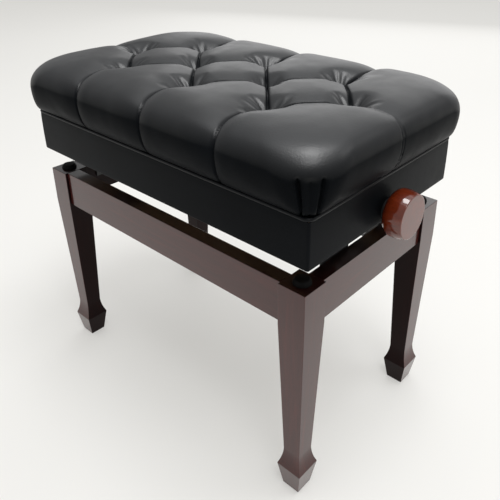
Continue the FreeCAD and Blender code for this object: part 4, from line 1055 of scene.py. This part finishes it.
def eased_copy(node, name, width, material):
    """Copy of a CAD node with its edges rounded a little, as sanding leaves them."""
    source = bmesh.new()
    source.from_mesh(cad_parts[node].data)
    bmesh.ops.remove_doubles(source, verts=source.verts, dist=1e-6)
    bmesh.ops.dissolve_limit(source, angle_limit=math.radians(1), verts=source.verts, edges=source.edges)
    mesh = bpy.data.meshes.new(name)
    source.to_mesh(mesh)
    source.free()
    old_normals = mesh.attributes.get("custom_normal")
    if old_normals:
        mesh.attributes.remove(old_normals)
    piece = new_piece(name, mesh, material)
    bevel = piece.modifiers.new("eased", "BEVEL")
    bevel.width = width
    bevel.segments = 2
    bevel.limit_method = "ANGLE"
    bevel.angle_limit = math.radians(28)
    bevel.harden_normals = True
    smooth(mesh)
    piece.data = evaluated_mesh(piece, name)
    return piece


def mark_painted_shade(mesh):
    """Mark painted shade: a darker colour on inward faces and tops, and no lacquer on inward faces."""
    off_middle, facing = 50 * MM, 0.6
    middle = sum((vert.co for vert in mesh.vertices), Vector()) / len(mesh.vertices)
    inward = [-math.copysign(1, place) if abs(place) > off_middle else 0 for place in middle[:2]]
    # Painted shade on the faces that lie in shade under the seat box: inward faces and tops.
    bare = [max(face.normal.x * inward[0], face.normal.y * inward[1]) > facing for face in mesh.polygons]
    stained = [hidden or face.normal.z > facing for hidden, face in zip(bare, mesh.polygons)]
    for name, marks in (("bare", bare), ("stained", stained)):
        mesh.attributes.new(name, "FLOAT", "FACE").data.foreach_set("value", [float(mark) for mark in marks])


class STOOL_OT_stand(bpy.types.Operator):
    """Finish the legs, aprons and bumpers"""
    bl_idname = "stool.stand"
    bl_label = "Stand"

    def execute(self, context):
        grain = {"leg_" + corner: "upright" for _, _, corner in CORNERS}
        grain.update(apron_front="lengthwise", apron_back="lengthwise", apron_left="crosswise",
                     apron_right="crosswise")
        width = context.scene.stool_finish.eased_edge
        for node, word in grain.items():
            piece = eased_copy(node, node + "_polished", width, "stand_wood_" + word)
            mark_painted_shade(piece.data)
            finished(piece, "stand", [node])
        paint(["leg_bumpers"], "bumper_rubber_black")
        return {"FINISHED"}


class STOOL_OT_box(bpy.types.Operator):
    """Finish the wooden box inside the border"""
    bl_idname = "stool.box"
    bl_label = "Seat box"

    def execute(self, context):
        paint(["box_rail_front", "box_rail_back", "seat_board"], "box_wood_lengthwise")
        paint(["box_rail_left", "box_rail_right", "box_corner_blocks"], "box_wood_crosswise")
        return {"FINISHED"}


# Lift

SCREW_HEAD = 2.4 * MM


def screw_mesh():
    """Pan head with a cross recess, its shank hidden in the wood. It points along +Z at the origin."""
    segments, recess, recess_radius = 16, 1.1 * MM, 1.8 * MM
    stations = [
        # radius and height in millimetres, from the bottom of the recess to the tip
        (0, 1.2), (0.9, 2.4), (1.8, 2.328), (2.6, 2.112), (3.4, 1.44), (4, 0), (2, 0), (2, -11), (0, -13),
    ]
    rings = []
    for radius, height in np.array(stations) * MM:
        ring = []
        for step in range(segments):
            turn = 2 * math.pi * step / segments
            in_cross = step % 4 == 0 and 0 < radius <= recess_radius and height > 0
            ring.append((radius * math.cos(turn), radius * math.sin(turn), height - recess * in_cross))
        rings.append(ring)
    return lofted_mesh("pan_head_screw", rings, closed=False)


def screws_tree():
    """Tree that sets a screw on each point, along the facing that the point stores, each turned by chance."""
    tree, given = new_tree("screws_on_points", [
        ("Screw", "NodeSocketObject", None),
        ("Seed", "NodeSocketInt", 3),
    ])
    source = add_node(tree, "GeometryNodeObjectInfo", {"Object": given["Screw"]})
    points = add_node(tree, "GeometryNodeMeshToPoints", {"Mesh": given["Geometry"]})
    facing = add_node(tree, "GeometryNodeInputNamedAttribute", {"Name": "facing"}, data_type="FLOAT_VECTOR")
    aligned = add_node(tree, "FunctionNodeAlignRotationToVector", {
        "Vector": facing.outputs["Attribute"]}, axis="Z")
    chance = add_node(tree, "FunctionNodeRandomValue", {
        "Max": math.pi, "Seed": given["Seed"]}, data_type="FLOAT")
    spin = add_node(tree, "ShaderNodeCombineXYZ", {"Z": chance.outputs["Value"]})
    turned = add_node(tree, "FunctionNodeRotateRotation", {
        "Rotation": aligned.outputs["Rotation"], "Rotate By": spin.outputs["Vector"]}, rotation_space="LOCAL")
    instances = add_node(tree, "GeometryNodeInstanceOnPoints", {
        "Points": points.outputs["Points"], "Instance": source.outputs["Geometry"],
        "Rotation": turned.outputs["Rotation"]})
    return close_tree(tree, instances.outputs["Instances"], given)


def screw_places(node):
    """Underside of each screw head of a CAD group, found from the solids of the group, with its facing."""
    shape = bmesh.new()
    shape.from_mesh(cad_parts[node].data)
    bmesh.ops.remove_doubles(shape, verts=shape.verts, dist=1e-6)
    left = set(shape.verts)
    places = []
    while left:
        island = [left.pop()]
        for vert in island:
            for edge in vert.link_edges:
                other = edge.other_vert(vert)
                if other in left:
                    left.remove(other)
                    island.append(other)
        cloud = np.array([vert.co for vert in island])
        size = cloud.max(0) - cloud.min(0)
        middle = (cloud.max(0) + cloud.min(0)) / 2
        axis = int(size.argmax())
        across = np.abs(np.delete(cloud - middle, axis, axis=1)).max(1)
        ahead = cloud[:, axis] > middle[axis]
        facing = np.zeros(3)
        facing[axis] = -1 if across[~ahead].max() > across[ahead].max() else 1
        places.append((middle + facing * (size[axis] / 2 - SCREW_HEAD), facing))
    shape.free()
    return sorted(places, key=lambda entry: tuple(np.round(entry[0], 5)))


def thread_tree():
    """Tree that winds a thread round a core along X."""
    tree, given = new_tree("thread_on_rod", [
        ("Thread Radius", "NodeSocketFloat", 5.35 * MM),
        ("Ridge", "NodeSocketFloat", 0.65 * MM),
        ("Length", "NodeSocketFloat", 0.4),
        ("Turns", "NodeSocketFloat", 200.0),
    ])
    spiral = add_node(tree, "GeometryNodeCurveSpiral", {
        "Resolution": 14, "Rotations": given["Turns"], "Start Radius": given["Thread Radius"],
        "End Radius": given["Thread Radius"], "Height": given["Length"]})
    ridge = add_node(tree, "GeometryNodeCurvePrimitiveCircle", {"Resolution": 4, "Radius": given["Ridge"]})
    wound = add_node(tree, "GeometryNodeCurveToMesh", {
        "Curve": spiral.outputs["Curve"], "Profile Curve": ridge.outputs["Curve"], "Fill Caps": True})
    half = add_node(tree, "ShaderNodeMath", {0: given["Length"], 1: -0.5}, operation="MULTIPLY")
    shift = add_node(tree, "ShaderNodeCombineXYZ", {"X": half.outputs["Value"]})
    laid = add_node(tree, "GeometryNodeTransform", {
        "Geometry": wound.outputs["Mesh"], "Translation": shift.outputs["Vector"],
        "Rotation": (0, math.pi / 2, 0)})
    together = add_node(tree, "GeometryNodeJoinGeometry", {"Geometry": laid.outputs["Geometry"]})
    tree.links.new(given["Geometry"], together.inputs["Geometry"])
    return close_tree(tree, together.outputs["Geometry"], given)


class STOOL_OT_lift(bpy.types.Operator):
    """Finish the brackets, arms, pins and bushings of the lift"""
    bl_idname = "stool.lift"
    bl_label = "Lift"

    def execute(self, context):
        for level in ("lower", "upper"):
            paint([level + "_bracket_" + corner for _, _, corner in CORNERS], "lift_paint_black")
            paint([level + "_arm_" + side for side in ("front", "back", "rod")], "lift_paint_black")
            paint([level + "_pivot_pins"], "lift_zinc_crosswise")
        paint(["screw_bushings"], "lift_paint_black")
        paint(["centre_pins", "slide_pins", "trunnion_nut", "trunnion_rings"], "lift_zinc_crosswise")
        paint(["screw_collars"], "lift_zinc_lengthwise")
        return {"FINISHED"}


class STOOL_OT_bracket_screws(bpy.types.Operator):
    """Set the cross-head screws of the brackets"""
    bl_idname = "stool.bracket_screws"
    bl_label = "Bracket screws"

    def execute(self, context):
        master = new_piece("pan_head_screw", screw_mesh(), "lift_zinc_crosswise")
        tree = screws_tree()
        for node, body in (("lower_bracket_screws", "stand"), ("upper_bracket_screws", "seat")):
            places = screw_places(node)
            mesh = bpy.data.meshes.new(node + "_set")
            mesh.from_pydata([tuple(place) for place, _ in places], [], [])
            facing = mesh.attributes.new("facing", "FLOAT_VECTOR", "POINT")
            facing.data.foreach_set("vector", np.concatenate([turn for _, turn in places]).astype(np.float32))
            piece = grown_piece(node + "_set", mesh, tree, {"Screw": master}, "lift_zinc_crosswise")
            smooth(piece.data, math.radians(40))
            finished(piece, body, [node])
        bpy.data.objects.remove(master)
        return {"FINISHED"}


class STOOL_OT_lead_screw(bpy.types.Operator):
    """Make the threaded lead screw"""
    bl_idname = "stool.lead_screw"
    bl_label = "Lead screw"

    def execute(self, context):
        ridge, slope, pitch, run_out, chamfer = 0.6 * MM, 1 * MM, 2 * MM, 2 * MM, 0.6 * MM
        _, collar_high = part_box("screw_collars")
        outer = (SCREW_HIGH.z - SCREW_LOW.z) / 2
        core = outer - 0.85 * MM
        end = SCREW_HIGH.x
        plain = collar_high.x - 10 * MM
        half = [(plain - slope, core), (plain, outer), (end - chamfer, outer), (end, outer - chamfer)]
        stations = [(-x, radius) for x, radius in reversed(half)] + half
        length = 2 * (plain - run_out)
        values = {"Thread Radius": outer - ridge, "Ridge": ridge, "Length": length, "Turns": length / pitch}
        rod = turned_rod("threaded_screw_core", stations)
        piece = grown_piece("threaded_screw", rod, thread_tree(), values, "lift_zinc_lengthwise")
        piece.data.transform(Matrix.Translation((0, 0, SCREW_AXIS)))
        smooth(piece.data, math.radians(30))
        finished(piece, "screw", ["lead_screw"])
        return {"FINISHED"}


def arc_stations(start, end, steps):
    """Stations on a round that leaves the higher of two stations level."""
    (x0, r0), (x1, r1) = start, end
    run, rise = abs(x1 - x0), abs(r1 - r0)
    radius = (run * run + rise * rise) / (2 * rise)
    peak_x, peak = (x0, r0) if r0 > r1 else (x1, r1)
    return [(x, peak - radius + math.sqrt(radius * radius - (x - peak_x) ** 2))
            for x in np.linspace(x0, x1, steps + 1)]


def knob_stations(length, radius):
    """Stations of a knob from its back to its flat face: round back, full side and a small round rim."""
    widest, back, face, rim = 12 * MM, radius - 10 * MM, radius - 2.5 * MM, 1.2 * MM
    stations = [(0, back - 3 * MM)]
    stations += arc_stations((0, back), (widest, radius), 14)
    stations += arc_stations((widest, radius), (length - rim, face), 12)[1:]
    for turn in np.linspace(0, math.pi / 2, 6)[1:]:
        stations.append((length - rim + rim * math.sin(turn), face - rim + rim * math.cos(turn)))
    stations.append((length, face - rim - 0.6 * MM))
    return stations


class STOOL_OT_knobs(bpy.types.Operator):
    """Finish the turned knobs"""
    bl_idname = "stool.knobs"
    bl_label = "Knobs"

    def execute(self, context):
        for side, turn in (("left", math.pi), ("right", 0)):
            name = "knob_" + side + "_turned"
            low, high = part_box("knob_" + side)
            mesh = turned_rod(name, knob_stations(high.x - low.x, (high.z - low.z) / 2), 96)
            mesh.transform(Matrix.Rotation(turn, 4, "Z"))
            mesh.transform(Matrix.Translation((min(low.x, high.x, key=abs), 0, (low.z + high.z) / 2)))
            piece = new_piece(name, mesh, "knob_wood_gloss")
            smooth(mesh, math.radians(40))
            finished(piece, "screw", ["knob_" + side])
        return {"FINISHED"}


# Stage

FLOOR_HALF = 9.0
CAMERA_SHIFT = (-0.0214, -0.1481)
SOFTBOXES = [
    # name, place, where it points, size, power and colour
    ("overhead", (-0.2, 0.8, 3.6), (-0.2, 0.8, 0), (4.2, 4.2), 42, (0.96, 0.98, 1)),
    ("top", (0.45, 0.1, 2.7), (0.2, 0, 0.5), (0.9, 0.9), 26, (1, 1, 1)),
    ("front_right", (1.45, -0.8, 3.0), (0.1, 0, 0.4), (0.9, 0.9), 17, (1, 1, 1)),
    ("backdrop", (-1.2, 2.7, 1.3), (0, 0, 0.5), (3.2, 2.0), 19, (1, 1, 1)),
    ("right_behind", (1.8, 1.5, 2.2), (0, 0, 0.3), (1.0, 1.0), 5, (1, 1, 1)),
]


def ray_is(tree, *kinds):
    """1 for rays of one of the kinds, 0 for others."""
    rays = add_node(tree, "ShaderNodeLightPath").outputs
    found = rays[kinds[0]]
    for kind in kinds[1:]:
        either = add_node(tree, "ShaderNodeMath", {0: found, 1: rays[kind]}, operation="MAXIMUM")
        found = either.outputs["Value"]
    return found


def mixed_shaders(tree, factor, first, second):
    """Mix of two shaders' outputs."""
    return add_node(tree, "ShaderNodeMixShader", {"Fac": factor, 1: first, 2: second}).outputs["Shader"]


def floor_material(name, colour, share_white):
    """Plain pale floor, a trace uneven, by some share plain white to the eye and in reflections."""
    tree, shader = new_material(name)
    clouds = noise_texture(tree, object_coordinates(tree), scale=1.2, detail=2)
    tone = colour_ramp(tree, clouds, [(0.3, shade(colour, 0.985)), (0.7, colour)])
    set_inputs(tree, shader, {"Base Color": tone, "Roughness": 0.9, "Specular IOR Level": 0.1})
    seen = ray_is(tree, "Is Camera Ray", "Is Glossy Ray", "Is Transmission Ray")
    white = add_node(tree, "ShaderNodeEmission", {"Color": (0.9, 0.892, 0.86, 1)})
    surface = mixed_shaders(tree, spread(tree, seen, 0, share_white), shader.outputs["BSDF"],
                            white.outputs["Emission"])
    tree.links.new(surface, tree.nodes["Material Output"].inputs["Surface"])


def add_softbox(name, place, aim, size, power, colour):
    """Area lamp that points at a place."""
    lamp = bpy.data.lights.new(name, "AREA")
    lamp.shape = "RECTANGLE"
    lamp.size, lamp.size_y = size
    lamp.energy = power
    lamp.color = colour
    holder = in_scene(name, lamp)
    holder.location = place
    holder.rotation_euler = (Vector(aim) - Vector(place)).to_track_quat("-Z", "Y").to_euler()


def set_world(strength):
    """Even, slightly warm light from all round, which is grey to the camera and in reflections."""
    world = bpy.data.worlds.new("studio")
    bpy.context.scene.world = world
    world.use_nodes = True
    tree = world.node_tree
    tree.nodes.clear()
    light = add_node(tree, "ShaderNodeBackground", {"Color": (1, 0.985, 0.95, 1), "Strength": strength})
    grey = add_node(tree, "ShaderNodeBackground", {"Color": (0.5, 0.5, 0.5, 1), "Strength": 1.0})
    seen = ray_is(tree, "Is Camera Ray", "Is Glossy Ray")
    surface = mixed_shaders(tree, seen, light.outputs["Background"], grey.outputs["Background"])
    add_node(tree, "ShaderNodeOutputWorld", {"Surface": surface})


class STOOL_OT_stage(bpy.types.Operator):
    """Set the floor, the light and the camera"""
    bl_idname = "stool.stage"
    bl_label = "Stage"

    def execute(self, context):
        scene = context.scene
        stage = scene.stool_stage
        mesh = bpy.data.meshes.new("studio_floor")
        corners = [(x * FLOOR_HALF, y * FLOOR_HALF, 0) for x, y in ((-1, -1), (1, -1), (1, 1), (-1, 1))]
        mesh.from_pydata(corners, [], [(0, 1, 2, 3)])
        floor_material("stage_floor", stage.floor, stage.floor_white)
        new_piece("studio_floor", mesh, "stage_floor")
        for softbox in SOFTBOXES:
            add_softbox(*softbox)
        set_world(stage.ambient)
        camera = bpy.data.cameras.new("photo_view")
        camera.lens = stage.camera_lens
        camera.sensor_width = 36
        camera.shift_x, camera.shift_y = CAMERA_SHIFT
        camera.clip_start = 0.01
        holder = in_scene("photo_view", camera)
        holder.location = stage.camera_place
        holder.rotation_euler = stage.camera_turn
        scene.camera = holder
        scene.view_settings.view_transform = "Standard"
        return {"FINISHED"}


# Add-on

class STOOL_PT_panel(bpy.types.Panel):
    """Lists the stool's pieces in the sidebar"""
    bl_idname = "STOOL_PT_panel"
    bl_label = "Piano stool"
    bl_space_type = "VIEW_3D"
    bl_region_type = "UI"
    bl_category = "Stool"

    def draw(self, context):
        for operator in OPERATORS:
            self.layout.operator(operator.bl_idname)
        for group in (context.scene.stool_cushion, context.scene.stool_finish, context.scene.stool_stage):
            for name in group.__annotations__:
                self.layout.prop(group, name)


OPERATORS = [STOOL_OT_finishes, STOOL_OT_stand, STOOL_OT_box, STOOL_OT_lift, STOOL_OT_bracket_screws,
             STOOL_OT_lead_screw, STOOL_OT_knobs, STOOL_OT_border, STOOL_OT_welt, STOOL_OT_cushion,
             STOOL_OT_stage]
GROUPS = {
    "stool_cushion": StoolCushionSettings,
    "stool_finish": StoolFinishSettings,
    "stool_stage": StoolStageSettings,
}


def register():
    """Add the classes and the scene's settings."""
    for known in [*GROUPS.values(), *OPERATORS, STOOL_PT_panel]:
        bpy.utils.register_class(known)
    for name, group in GROUPS.items():
        setattr(bpy.types.Scene, name, bpy.props.PointerProperty(type=group))


def unregister():
    """Remove what register added."""
    for name in GROUPS:
        delattr(bpy.types.Scene, name)
    for known in [STOOL_PT_panel, *OPERATORS, *GROUPS.values()]:
        bpy.utils.unregister_class(known)


def main():
    """Build the stool."""
    register()
    bpy.ops.stool.finishes()
    bpy.ops.stool.stand()
    bpy.ops.stool.box()
    bpy.ops.stool.lift()
    bpy.ops.stool.bracket_screws()
    bpy.ops.stool.lead_screw()
    bpy.ops.stool.knobs()
    bpy.ops.stool.border()
    bpy.ops.stool.welt()
    bpy.ops.stool.cushion()
    bpy.ops.stool.stage()


if __name__ == "__main__":
    main()
